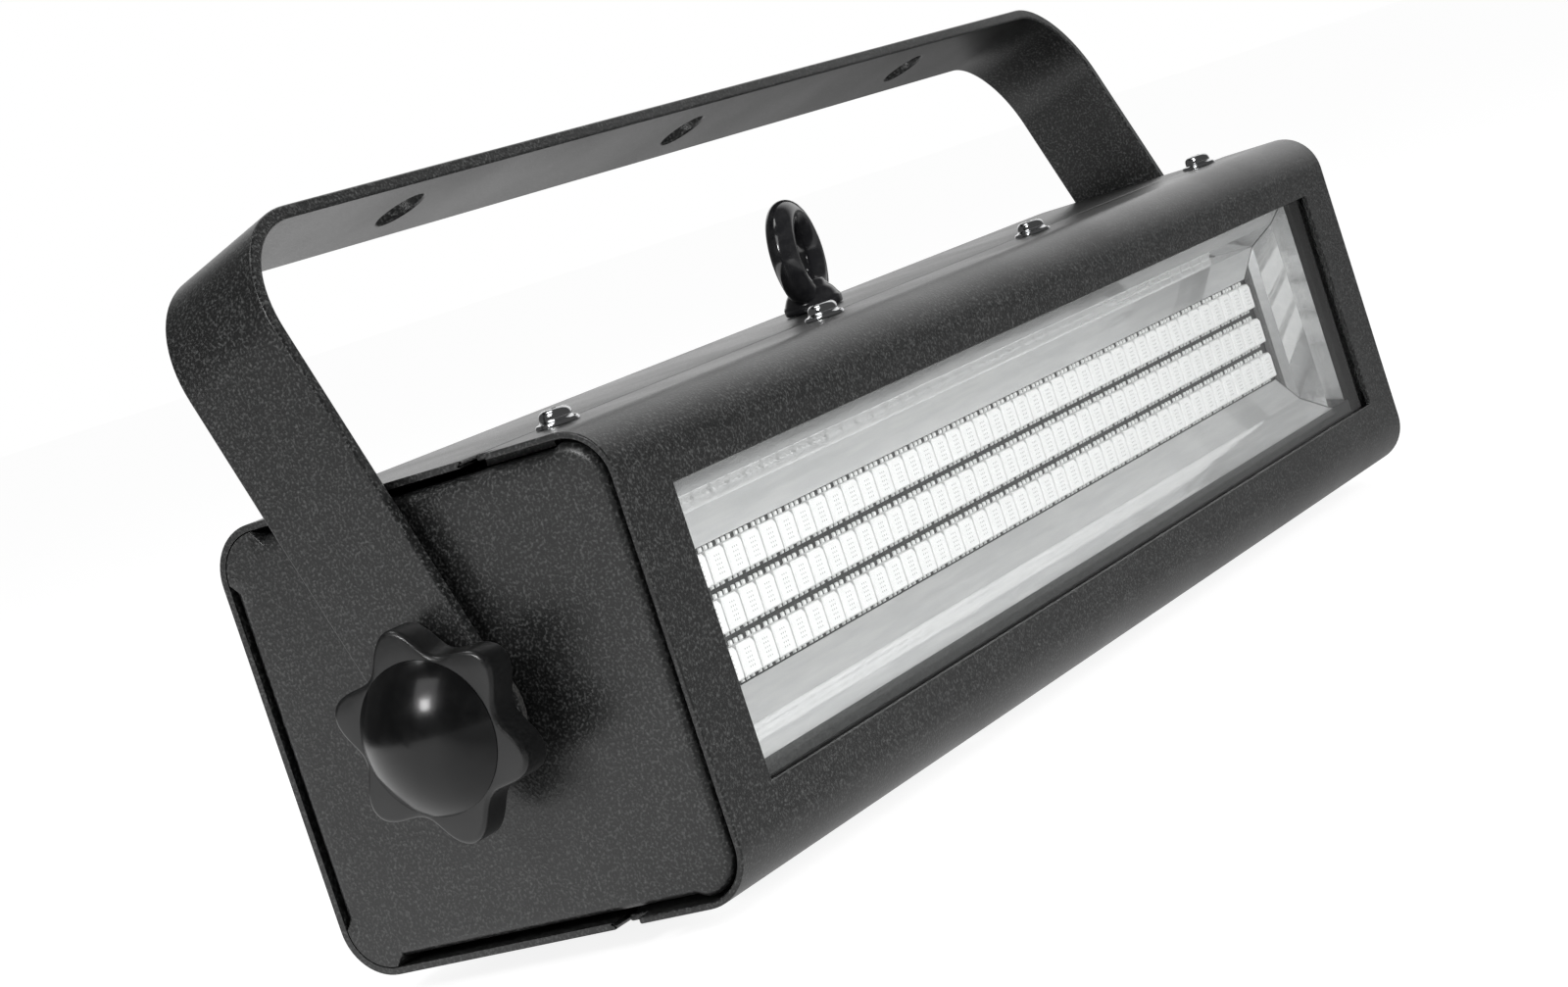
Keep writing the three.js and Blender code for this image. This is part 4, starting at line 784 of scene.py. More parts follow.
@dataclass
class Housing:
    """The bent front and rear shells and the two end plates."""

    panel: RearPanel
    length: float = 281.6
    depth: float = 70.0
    height: float = 68.3
    sheet: float = 1.0
    bend: float = 7.8
    bend_steps: int = 14
    near: float = 0.5  # width of the narrow cells beside a bend
    seam_from_front: float = 23.0
    seam_gap: float = 0.35
    axis_drop: float = 0.25
    window_side: float = 13.05
    window_bottom: float = 13.1
    window_top: float = 11.9
    window_lines: int = 13
    notch_length: float = 3.0
    notch_reach: float = 3.4
    tongue_reach: float = 10.5
    tongue_drop: float = 1.15
    tongue_inset: float = 7.0
    joggle_bend: float = 0.5
    joggle_steps: int = 4
    plate_flange: float = 6.0
    plate_soft: float = 1.5
    soft_rings: int = 7
    corner_soft: float = 0.06  # share of the soft edge that the welded corners have
    side_slit: float = 0.6
    top_slit: float = 1.3
    slit_end: float = 1.6
    slit_points: int = 9
    weld_gap: float = 0.1
    calm_edge: float = 2.2  # from the plate's outline to the even box that its flat rings start from
    calm_rings: tuple[float, ...] = (0.0, 0.3, 0.6, 0.85, 1.0)
    pivot_y: float = -0.3
    pivot_hole: float = 4.7
    edge: float = 0.28

    def __post_init__(self) -> None:
        """Works out the places that several pieces share."""
        self.front = -self.depth / 2
        self.rear = self.depth / 2
        self.half = self.length / 2
        self.seam = self.front + self.seam_from_front
        self.axis = self.height / 2 - self.axis_drop
        self.centre = (0.0, 0.0, self.height / 2)

    def along_x(self, x: np.ndarray, path: np.ndarray, cut: np.ndarray) -> Surface:
        """A (Y, Z) path carried to every place along X, without the cells that are cut out."""
        points = in_space(np.repeat(path[None], len(x), axis=0), "X", x[:, None])
        return Surface.net(points, ~cut).outward(self.centre)

    def front_shell(self) -> Surface:
        """The front shell: its outside profile carried along X, without the window and the corner notches.

        Returns:
            The outside surface. The profile runs seam, bottom, bend, front, bend, top, seam.
        """
        front, bend, top, notch = self.front, self.bend, self.height, self.seam - self.notch_reach
        flat = front + bend + self.near
        levels = [bend + self.near, self.window_bottom, top - self.window_top, top - bend - self.near]
        path = np.concatenate(
            [
                [[self.seam, 0], [notch, 0], [flat, 0]],
                arc(front + bend, bend, bend, 0.75, 0.5, self.bend_steps),
                [[front, level] for level in levels],
                arc(front + bend, top - bend, bend, 0.5, 0.25, self.bend_steps),
                [[flat, top], [notch, top], [self.seam, top]],
            ]
        )
        side, tip = self.half - self.window_side, self.half - self.notch_length
        x = np.unique([-self.half, -tip, *np.linspace(-side, side, self.window_lines), tip, self.half])
        away, middle = np.abs(between(x))[:, None], between(path)
        in_window = (away < side) & (middle[:, 0] < front + HAIR)
        in_window &= (middle[:, 1] > self.window_bottom) & (middle[:, 1] < top - self.window_top)
        return self.along_x(x, path, in_window | (away > tip) & (middle[:, 0] > notch))

    def rear_shell(self) -> Surface:
        """The rear shell with its tongues under the front shell and the panel's cut-outs.

        Returns:
            The outside surface. The profile runs tongue, joggle, bottom, bend, rear, bend, top, joggle,
            tongue, and the button holes are filled with nets of their own.
        """
        panel = self.panel
        edge, rear, bend, top = self.seam + self.seam_gap, self.rear, self.bend, self.height
        low, soft, inset = self.tongue_drop, self.joggle_bend, self.half - self.tongue_inset
        holes = panel.holes(self.axis)
        lines = [z + side * high for _, z, _, high in holes for side in (-1, 1)]
        lines += [bend + self.near, top - bend - self.near, *panel.lines(panel.button_z)]
        levels = once_each(lines)
        rise = np.concatenate(
            [
                [[self.seam - self.tongue_reach, low], [edge - self.near, low], [edge, low]],
                arc(edge + soft, soft, soft, 0.5, 0.75, self.joggle_steps),
                [[rear - bend - self.near, 0]],
                arc(rear - bend, bend, bend, 0.75, 1, self.bend_steps),
            ]
        )
        path = np.concatenate([rise, [[rear, level] for level in levels], rise[::-1] * [1, -1] + [0, top]])
        lines = [x + side * wide for x, _, wide, _ in holes for side in (-1, 1)]
        lines += [-self.half, -inset, inset, self.half, *panel.lines(panel.button_x).ravel()]
        x = once_each(lines)
        middle_x, middle = between(x)[:, None], between(path)
        cut = np.zeros((len(x) - 1, len(path) - 1), dtype=bool)
        for place, level, wide, high in holes:
            cut |= (np.abs(middle_x - place) < wide) & (np.abs(middle[:, 1] - level) < high)
        cut &= middle[:, 0] > rear - HAIR
        cut |= (middle[:, 0] < edge + HAIR) & (np.abs(middle_x) > inset)
        shell = self.along_x(x, path, cut)
        up = within(levels, panel.button_z, panel.cell)
        for place in panel.button_x:
            across = within(x, place, panel.cell)
            flat = holed_square(across, up, (place, panel.button_z), panel.button_hole, panel.rings)
            shell = shell + Surface.net(in_space(flat, "Y", rear), ring=True).outward(self.centre)
        return shell

    def plate_outline(self, inset: float) -> np.ndarray:
        """The end plate's outline in (Y, Z), as far inside the shells as the slits and the inset say.

        Args:
            inset: how far inside its full size the outline runs.

        Returns:
            The closed outline's points, as many for every inset.
        """
        low = self.sheet + self.top_slit + inset
        ahead = self.front + self.sheet + self.side_slit + inset
        behind = self.rear - self.sheet - self.side_slit - inset
        ahead_bend = self.bend - self.sheet - self.side_slit - inset
        behind_bend = self.bend - self.sheet - self.weld_gap - inset
        left, right = self.front + self.bend, self.rear - self.bend
        bend, top = self.bend, self.height - self.bend
        across = np.linspace(left + self.slit_end, right - self.slit_end, self.slit_points)
        up = np.linspace(bend + self.slit_end, top - self.slit_end, self.slit_points)
        steps = self.bend_steps
        return np.concatenate(
            [
                [[ahead, bend]],
                arc(left, bend, ahead_bend, 0.5, 0.75, steps)[1:],
                [[y, low] for y in across],
                arc(right, bend, behind_bend, 0.75, 1, steps),
                [[behind, z] for z in up],
                arc(right, top, behind_bend, 0, 0.25, steps),
                [[y, self.height - low] for y in across[::-1]],
                arc(left, top, ahead_bend, 0.25, 0.5, steps),
                [[ahead, z] for z in up[::-1][1:-1]],
            ]
        )

    def end_plate(self, side: int) -> Surface:
        """A welded end plate: a tray whose soft edge turns into a flange.

        Args:
            side: 1 for the right end and -1 for the left one.

        Returns:
            The outside surface. Rings run from the flange's end over the soft edge, where inset and depth
            follow a quarter circle and the welded rear corners stay nearly sharp. From an even box a little
            further in, they shrink evenly to the pivot hole.
        """
        angle = np.linspace(0, TURN / 4, self.soft_rings)
        inset = np.concatenate([[0.0], self.plate_soft * (1 - np.cos(angle))])
        depth = np.concatenate([[self.plate_flange], self.plate_soft * (1 - np.sin(angle))])
        sharp, soft = self.plate_outline(0.0), self.plate_outline(self.plate_soft)
        welded = np.abs(sharp[:, 1] - self.height / 2) > self.height / 2 - self.bend - HAIR
        welded &= sharp[:, 0] > self.rear - self.bend - HAIR
        weight = np.where(welded, self.corner_soft, 1.0)[:, None]
        rings = np.stack([sharp + (soft - sharp) * weight * value / self.plate_soft for value in inset])
        inner = np.clip(rings[-1], soft.min(axis=0) + self.calm_edge, soft.max(axis=0) - self.calm_edge)
        hole = on_circle(inner, np.array([self.pivot_y, self.axis]), self.pivot_hole)
        rings = np.concatenate([rings, blended(inner, hole, self.calm_rings)])
        depth = np.concatenate([depth, np.zeros(len(self.calm_rings))])
        tray = Surface.net(in_space(rings, "X", side * (self.half - depth)[:, None]), ring=True)
        return tray.outward((side * (self.half - 2 * self.plate_flange), 0, self.axis))

    def build(self) -> None:
        """Builds the four sheet pieces."""
        craft = Craft(solid=False, wall=self.sheet, edge=self.edge)
        add_piece("front_shell_sheet", self.front_shell(), POWDER, "front_shell", craft=craft)
        add_piece("rear_shell_sheet", self.rear_shell(), POWDER, "rear_shell", craft=craft)
        for end, side in ENDS.items():
            add_piece(f"{end}_end_sheet", self.end_plate(side), POWDER, f"{end}_end_plate", craft=craft)


# Light field


@dataclass
class LightField:
    """Window, seal, mirror strips and the board with its white packages."""

    columns: int = 44
    rows: int = 3
    pitch_x: float = 5.46
    pitch_z: float = 7.14
    side: float = 5.0
    thickness: float = 1.6
    corner_cut: float = 0.6
    edge: float = 0.22
    sink: float = 0.1  # how far the packages reach into the board
    board_width: float = 250.0
    board_height: float = 30.0
    board_corner: float = 1.5
    board_steps: int = 4
    board_thickness: float = 1.6
    face_y: float = -19.5
    axis: float = 33.9
    pad_width: float = 0.85
    pad_height: float = 0.75
    pads_across: int = 3
    pad_pitch: float = 1.6
    pad_levels: Profile = ((1.0, 0.0), (0.75, -0.28), (0.02, -0.32))  # share of the pad's size and height
    pad_overlap: float = 0.95  # how far the pad stands out from its package, as a share of half its height
    lip_y: float = -30.4
    lip_thickness: float = 0.6
    lip_foot: float = 12.68
    lip_height: float = 2.4
    lip_half_length: float = 127.9
    lip_steps: int = 8
    lip_places: int = 13
    behind: tuple[float, float, float] = (0, 2, 0)  # a point behind a package or pad

    def places(self) -> np.ndarray:
        """The packages' middles on the board's face, 132 x 3."""
        middles = grid(spaced(self.columns, self.pitch_x), self.axis + spaced(self.rows, self.pitch_z))
        return in_space(middles, "Y", self.face_y)

    def package(self) -> Surface:
        """One package round its middle on the board's face.

        Returns:
            Rings of 8 points, from the foot over a softened edge to a pole: a square with one cut corner.
        """
        half = self.side / 2
        cut = half - self.corner_cut
        sides = [[half, -half], [half, 0], [half, cut], [cut, half], [0, half], [-half, half], [-half, 0]]
        top, soft = -self.thickness, 1 - self.edge / half
        levels = [(1.0, self.sink), (1.0, self.edge - self.thickness), (soft, top), (TIP, top)]
        return Surface.scaled(np.array([*sides, [-half, -half]]), levels).outward(self.behind)

    def pads(self) -> Surface:
        """Small solder pads above and below every package.

        Returns:
            Low four-sided pyramids without a tip, three above and three below each package.
        """
        wide, high = self.pad_width / 2, self.pad_height / 2
        outline = np.array([[-wide, -high], [wide, -high], [wide, high], [-wide, high]])
        pad = Surface.scaled(outline, self.pad_levels).outward(self.behind)
        reach = self.side / 2 + high * self.pad_overlap
        beside = spaced(self.pads_across, self.pad_pitch)
        offsets = in_space(grid(beside, np.array([-1, 1]) * reach), "Y", 0.0)
        return pad.copies((self.places()[:, None] + offsets[None]).reshape(-1, 3))

    def board(self) -> Surface:
        """The bare board: a rounded outline carried from its face to its back.

        Returns:
            Rings from the middle of the face over its edge to the middle of the back.
        """
        bend = self.board_corner
        wide, high = self.board_width / 2 - bend, self.board_height / 2 - bend
        signs = [(1, 1), (-1, 1), (-1, -1), (1, -1)]
        quarters = [
            arc(x * wide, z * high, bend, i / 4, (i + 1) / 4, self.board_steps)
            for i, (x, z) in enumerate(signs)
        ]
        back, pole = self.face_y + self.board_thickness, TIP / 10
        levels = [(pole, self.face_y), (1.0, self.face_y), (1.0, back), (pole, back)]
        return Surface.scaled(np.concatenate(quarters), levels).moved(0, 0, self.axis)

    def lip(self) -> Surface:
        """The seal's grey lip along the window's lower edge, with a rounded top.

        Returns:
            Rings of its section along X, drawn to a pole at each end.
        """
        half = self.lip_thickness / 2
        low, high = self.lip_foot, self.lip_foot + self.lip_height
        crown = arc(self.lip_y, high - half, half, 0.5, 0, self.lip_steps)
        section = np.concatenate([[[self.lip_y - half, low]], crown, [[self.lip_y + half, low]]])
        middle = np.array([self.lip_y, (low + high) / 2])
        places = np.linspace(-1, 1, self.lip_places)
        levels = [(TIP, -1.0), *[(1.0, place) for place in places], (TIP, 1.0)]
        rings = [
            in_space((section - middle) * share + middle, "X", place * self.lip_half_length)
            for share, place in levels
        ]
        return Surface.net(np.stack(rings), ring=True).outward((0, *middle))

    def build(self) -> None:
        """Builds the board's pieces and dresses what is round them."""
        packages = self.package().copies(self.places())
        loose = Craft(solid=False)
        add_piece("board_sheet", self.board(), SOLDER_MASK, "led_board")
        add_piece("white_packages", packages, PACKAGE_WHITE, "led_board", craft=loose)
        add_piece("solder_pads", self.pads(), SOLDER, "led_board", craft=loose)
        add_piece("seal_lip", self.lip(), SEAL_TAPE, "")
        dress_nodes(MIRROR, "reflector_upper", "reflector_lower")
        dress_nodes(END_MIRROR, "reflector_left", "reflector_right")
        dress_nodes(CLEAR_GLASS, "window_glass")
        dress_nodes(RUBBER, "window_gasket")


# Fasteners and feet


class Recess(Enum):
    """What a screwdriver grips."""

    CROSS = "cross"
    SLOT = "slot"


@dataclass(frozen=True)
class Screw:
    """A screw with its head's underside at zero and its head up along Z."""

    recess: Recess
    head_radius: float
    head_height: float
    flange_radius: float
    flange_thickness: float
    shank_radius: float
    shank_length: float
    recess_width: float
    recess_length: float
    recess_depth: float
    crown: float
    slope: float = 0.1
    dome: float = 0.06  # how much lower the top is at its border
    square: float = 0.62  # share of the top's reach up to which its lines run straight
    slot_lines: tuple[float, ...] = (0.45, 0.7, 0.85, 1.0)  # shares of a slotted top's reach
    crown_steps: int = 5
    fillet_width: float = 0.2
    fillet_height: float = 0.25
    brim_slope: float = 0.15
    brim_top: float = 0.75  # share of the flange's thickness at which its slope starts
    brim_edge: float = 0.4  # and at which it ends

    def lines(self) -> np.ndarray:
        """Grid lines across the head's top.

        Returns:
            Places from rim to rim, the same on both sides of zero, with pairs at the recess's walls.
        """
        half, reach, rim = self.recess_width / 2, self.recess_length / 2, self.head_radius - self.crown
        inner = [0.0, half - self.slope, half, (half + reach) / 2]
        outer = [reach - self.slope, reach, (reach + rim) / 2, rim]
        if self.recess is Recess.SLOT:
            outer = [rim * share for share in self.slot_lines]
        side = once_each([*inner, *outer])
        side = side[side < rim + HAIR]
        return np.concatenate([-side[:0:-1], side])

    def sunk(self, x: np.ndarray, y: np.ndarray) -> np.ndarray:
        """How deep the recess is at each point.

        Args:
            x: the points' places along the slot, or along the cross's first arm.
            y: their places across it.

        Returns:
            The recess's depth inside its outline and 0 outside it.
        """
        half, reach = self.recess_width / 2 - self.slope / 2, self.recess_length / 2 - self.slope / 2
        along = (np.abs(y) < half) & (np.abs(x) < reach)
        across = (np.abs(x) < half) & (np.abs(y) < reach)
        inside = along | across if self.recess is Recess.CROSS else np.abs(y) < half
        return np.where(inside, self.recess_depth, 0.0)

    def profile(self, rim: float) -> np.ndarray:
        """The screw's outside below its top.

        Args:
            rim: radius of the top.

        Returns:
            Radii and heights down the rounded shoulder, the flange if there is one, and the shank.
        """
        angle = np.linspace(0, TURN / 4, self.crown_steps + 1)[1:]
        shoulder = self.head_height - self.dome - self.crown
        radii = rim + (self.head_radius - rim) * np.sin(angle)
        places = [*zip(radii, shoulder + self.crown * np.cos(angle))]
        if self.flange_radius > self.head_radius:
            head, flange, thick = self.head_radius, self.flange_radius, self.flange_thickness
            places += [(head, thick + self.fillet_height), (head + self.fillet_width, thick)]
            places += [(flange - self.brim_slope, thick * self.brim_top)]
            places += [(flange, thick * self.brim_edge), (flange, 0.0)]
        else:
            places += [(self.head_radius, 0.0)]
        shank, end = self.shank_radius, -self.shank_length
        return np.array([*places, (shank, 0.0), (shank, end), (TIP, end)])

    def surface(self) -> Surface:
        """The whole screw.

        Returns:
            A square net over the head's top, drawn out to a circle at its border and sunk at the recess,
            and rings in the border's directions down the profile.
        """
        side = self.lines()
        rim = side[-1]
        u, v = np.meshgrid(side, side, indexing="ij")
        largest = np.maximum(np.abs(u), np.abs(v))
        round_share = np.clip((largest / rim - self.square) / (1 - self.square), 0, 1)
        pull = 1 - round_share + round_share * largest / np.maximum(np.hypot(u, v), 1e-9)
        x, y = u * pull, v * pull
        z = self.head_height - self.dome * (x**2 + y**2) / rim**2 - self.sunk(x, y)
        top = np.stack([x, y, z], axis=-1)
        border = np.concatenate([top[:-1, 0], top[-1, :-1], top[:0:-1, -1], top[0, :0:-1]])
        radius, height = self.profile(rim).T
        down = radius[:, None, None] * on_circle(border[:, :2], (0, 0), 1.0)
        rings = np.concatenate([border[None], in_space(down, "Z", height[:, None])])
        return Surface.net(top) + Surface.net(rings, ring=True)


@dataclass
class Fasteners:
    """Screws and feet."""

    housing: Housing
    shell_screw_x: tuple[float, ...] = (-123.45, -41.15, 41.15, 123.45)
    shell_screw_y: float = -17.1
    shell_screw: Screw = Screw(Recess.CROSS, 2.45, 2.4, 3.3, 0.7, 1.5, 7.0, 0.7, 2.4, 1.0, crown=1.0)
    shell_twist: float = 37.0  # degrees by which each screw stands further round than the one before
    seat: float = 0.1
    panel_screw: Screw = Screw(Recess.SLOT, 2.7, 1.6, 2.7, 0.4, 1.4, 6.0, 0.6, 5.4, 0.7, crown=1.1)
    panel_twist: float = 25.0
    inlet_screw_x: tuple[float, float] = (80.0, 120.0)
    inlet_face: float = 37.7
    socket_face: float = 37.2
    socket_screw: tuple[float, float] = (9.5, 12.0)  # from the socket's middle along X and Z
    foot_x: float = 105.0
    foot_y: tuple[float, float] = (-6.0, 18.0)
    foot: Profile = (  # from its seat down to a shallow dimple
        (TIP, 0.0), (5.5, 0.0), (5.5, -2.8), (4.7, -3.7), (2.2, -3.7), (1.8, -2.9), (TIP, -2.9),
    )
    foot_soft: float = 0.35
    foot_steps: int = 48

    def panel_spots(self) -> dict[str, tuple[float, float, float]]:
        """The places of the panel's screws.

        Returns:
            The middle of each head's underside by node name.
        """
        axis = self.housing.axis
        spots = {f"inlet_screw_{i + 1}": (x, self.inlet_face, axis) for i, x in enumerate(self.inlet_screw_x)}
        across, up = self.socket_screw
        for socket, x in zip(("data_in", "data_out"), self.housing.panel.socket_x):
            for i, side in ((1, 1), (2, -1)):
                spots[f"{socket}_screw_{i}"] = (x + side * across, self.socket_face, axis + side * up)
        return spots

    def build(self) -> None:
        """Builds the screws and the feet."""
        top, y = self.housing.height + self.seat, self.shell_screw_y
        screw = self.shell_screw.surface()
        for i, x in enumerate(self.shell_screw_x, start=1):
            upright = screw.turned("Z", self.shell_twist * i)
            lower = upright.turned("X", 180).moved(x, y, -self.seat)
            add_piece(f"top_pan_head_{i}", upright.moved(x, y, top), CHROME, f"top_screw_{i}")
            add_piece(f"bottom_pan_head_{i}", lower, CHROME, f"bottom_screw_{i}")
        lying = self.panel_screw.surface()
        for i, (node, spot) in enumerate(self.panel_spots().items()):
            screw = lying.turned("Z", self.panel_twist * i).turned("X", -90).moved(*spot)
            add_piece(f"{node}_head", screw, ZINC, node)
        foot = lathe(softened(self.foot, self.foot_soft), "Z", self.foot_steps)
        for row, y in zip(("front", "rear"), self.foot_y):
            for end, side in ENDS.items():
                placed = foot.moved(side * self.foot_x, y, -self.seat)
                add_piece(f"{row}_{end}_foot_pad", placed, RUBBER, f"{row}_{end}_foot")


@dataclass
class Eyebolt:
    """The gloss black eyebolt on top, for a safety cable."""

    y: float = 7.3
    base: float = 68.4
    ring_radius: float = 7.3
    ring_steps: int = 72
    wire: float = 2.5
    wire_steps: int = 28
    swell: float = 0.08
    swell_start: float = 0.6  # share of the way down from the ring's middle at which the wire swells
    ring_height: float = 10.0
    ring_turn: float = 12.5
    collar: Profile = (  # with the shank below it
        (TIP, -8.0), (2.55, -8.0), (2.95, -7.6), (2.95, 0.0), (5.0, 0.0), (5.2, 0.3),
        (5.2, 1.5), (4.9, 1.9), (4.2, 3.2), (3.3, 4.1), (2.9, 5.2), (TIP, 5.2),
    )
    collar_soft: float = 0.5
    collar_steps: int = 64

    def surface(self) -> Surface:
        """The ring and the collar under it.

        Returns:
            A torus, where the wire's circle is carried round the ring's circle and swells a little towards
            the collar, and a turned collar with a shank.
        """
        a, b = np.meshgrid(around(self.ring_steps), around(self.wire_steps), indexing="ij")
        wire = self.wire * (1 + self.swell * np.clip(-np.sin(a) - self.swell_start, 0, 1))
        reach = self.ring_radius + wire * np.cos(b)
        ring = np.stack([reach * np.cos(a), wire * np.sin(b), reach * np.sin(a)], axis=-1)
        ring = np.concatenate([ring, ring[:1]])
        eye = Surface.net(ring, ring=True).turned("Z", self.ring_turn).moved(0, 0, self.ring_height)
        collar = lathe(softened(self.collar, self.collar_soft), "Z", self.collar_steps)
        return (eye + collar).moved(0, self.y, self.base)

    def build(self) -> None:
        """Builds the eyebolt and softens its nut."""
        add_piece("eyebolt_forging", self.surface(), GLOSS_PAINT, "eyebolt")
        soften_node("eyebolt_nut", ZINC, edge=0.3)


# Tilting joint


@dataclass(frozen=True)
class StarKnob:
    """A six-lobed knob with a dome, built outwards from the end plate along X."""

    lobes: int = 6
    steps: int = 180
    tip: float = 15.7
    valley: float = 11.9
    sharpness: float = 1.1
    first_lobe: float = 25.0
    base: float = 6.0
    hub: float = 0.2
    hub_radius: float = 8.0
    skirt: float = 5.8
    rim: float = 0.85
    rim_rings: int = 7
    groove: tuple[float, float] = (0.1, 0.3)  # from the dome's radius inwards, at the groove's top and foot
    groove_depth: float = 0.4
    dome_radius: float = 11.1
    dome_height: float = 4.83
    dome_inset: float = 0.25
    dome_lift: float = 0.12
    dome_foot: float = 0.6
    dome_rings: int = 14

    def star(self, angle: np.ndarray) -> np.ndarray:
        """Radius of the star at each angle: valley plus tip minus valley times a sharpened wave."""
        wave = (1 + np.cos(self.lobes * angle)) / 2
        return self.valley + (self.tip - self.valley) * wave**self.sharpness

    def of_rings(self, rings: Sequence[tuple[np.ndarray | float, float]]) -> Surface:
        """A closed surface along X.

        Args:
            rings: for each ring its radius, or one for each angle, and its height over the base.

        Returns:
            The surface.
        """
        angle = around(self.steps)
        way = np.stack([np.cos(angle), np.sin(angle)], axis=1)
        rows = [way * np.broadcast_to(radius, self.steps)[:, None] for radius, _ in rings]
        heights = np.array([self.base + height for _, height in rings])
        return Surface.net(in_space(np.stack(rows), "X", heights[:, None]), ring=True)

    def skirt_surface(self) -> Surface:
        """The star: hub, underside, skirt with rounded edges and flat face.

        Returns:
            Rings of a circle or a star at growing height, closed a little below the face.
        """
        star = self.star(around(self.steps) - math.radians(self.first_lobe))
        face = self.hub + self.skirt
        quarter = np.linspace(0, TURN / 4, self.rim_rings)
        outer, inner = self.groove
        floor = face - self.groove_depth
        rings = [(TIP, 0.0), (self.hub_radius, 0.0), (self.hub_radius, self.hub)]
        rings += [(star - self.rim * (1 - np.sin(q)), self.hub + self.rim * (1 - np.cos(q))) for q in quarter]
        rings += [(star - self.rim * (1 - np.cos(q)), face - self.rim * (1 - np.sin(q))) for q in quarter]
        rings += [(self.dome_radius - outer, face), (self.dome_radius - inner, floor), (TIP, floor)]
        return self.of_rings(rings)

    def dome_surface(self) -> Surface:
        """The dome, whose height follows a sphere, over a fine groove.

        Returns:
            Rings of a circle from inside the star to the dome's top.
        """
        face = self.hub + self.skirt
        sphere = (self.dome_radius**2 + self.dome_height**2) / (2 * self.dome_height)
        radius = self.dome_radius * np.cos(np.linspace(0, TURN / 4, self.dome_rings + 1))[:-1]
        cap = face + np.sqrt(sphere**2 - radius**2) - (sphere - self.dome_height)
        foot = self.dome_radius - self.dome_inset
        low = face - self.dome_foot
        rings = [(TIP, low), (foot, low), (foot, face - self.groove[0])]
        rings += [*zip(radius, cap + self.dome_lift), (TIP, face + self.dome_height + self.dome_lift)]
        return self.of_rings(rings)


@dataclass
class TiltJoint:
    """Nut, washers, stud and knob at both ends of the housing."""

    housing: Housing
    knob: StarKnob = StarKnob()
    friction_washer: tuple[float, ...] = (9.5, 3.4, 1.3, 2.4)  # radius, bore, start and end along X
    thrust_washer: tuple[float, ...] = (8.5, 3.3, 4.7, 5.9)
    washer_soft: float = 0.2
    washer_steps: int = 64
    nut: Profile = (  # a bulge behind the plate, a shank through it and a flange outside it
        (3.15, -10.4), (4.5, -10.4), (4.5, -5.9), (6.0, -5.9), (6.0, -2.7), (4.5, -2.7),
        (4.5, 0.1), (6.5, 0.1), (6.5, 1.2), (3.15, 1.2), (3.15, -10.4),
    )
    nut_soft: float = 0.25
    nut_steps: int = 48

    def washer(self, radius: float, bore: float, start: float, end: float) -> Surface:
        """A turned ring with softened edges from start to end along X."""
        profile = [[bore, start], [radius, start], [radius, end], [bore, end], [bore, start]]
        return lathe(softened([profile[-2], *profile], self.washer_soft), "X", self.washer_steps)

    def placed(self, surface: Surface, side: int) -> Surface:
        """A surface built along +X from the end plate, moved to one end and mirrored at the left one."""
        place = (side * self.housing.half, self.housing.pivot_y, self.housing.axis)
        return Surface(surface.corners * [side, 1, 1], surface.faces).moved(*place)

    def build(self) -> None:
        """Builds both ends' pieces."""
        nut = lathe(softened(self.nut, self.nut_soft), "X", self.nut_steps)
        pieces = (
            ("pivot_nut_form", nut, ZINC, "pivot_nut", ""),
            ("friction_washer_form", self.washer(*self.friction_washer), FIBRE, "friction_washer", ""),
            ("thrust_washer_form", self.washer(*self.thrust_washer), ZINC, "thrust_washer", "washer"),
            ("knob_form", self.knob.skirt_surface(), KNOB_FACE, "knob", "knob"),
            ("knob_dome", self.knob.dome_surface(), KNOB_PLASTIC, "knob", "knob"),
        )
        for end, side in ENDS.items():
            for name, surface, finish, node, moving in pieces:
                body = f"{end}_{moving}" if moving else "housing"
                add_piece(f"{end}_{name}", self.placed(surface, side), finish, f"{end}_{node}", body)
            dress_nodes(ZINC, f"{end}_stud")


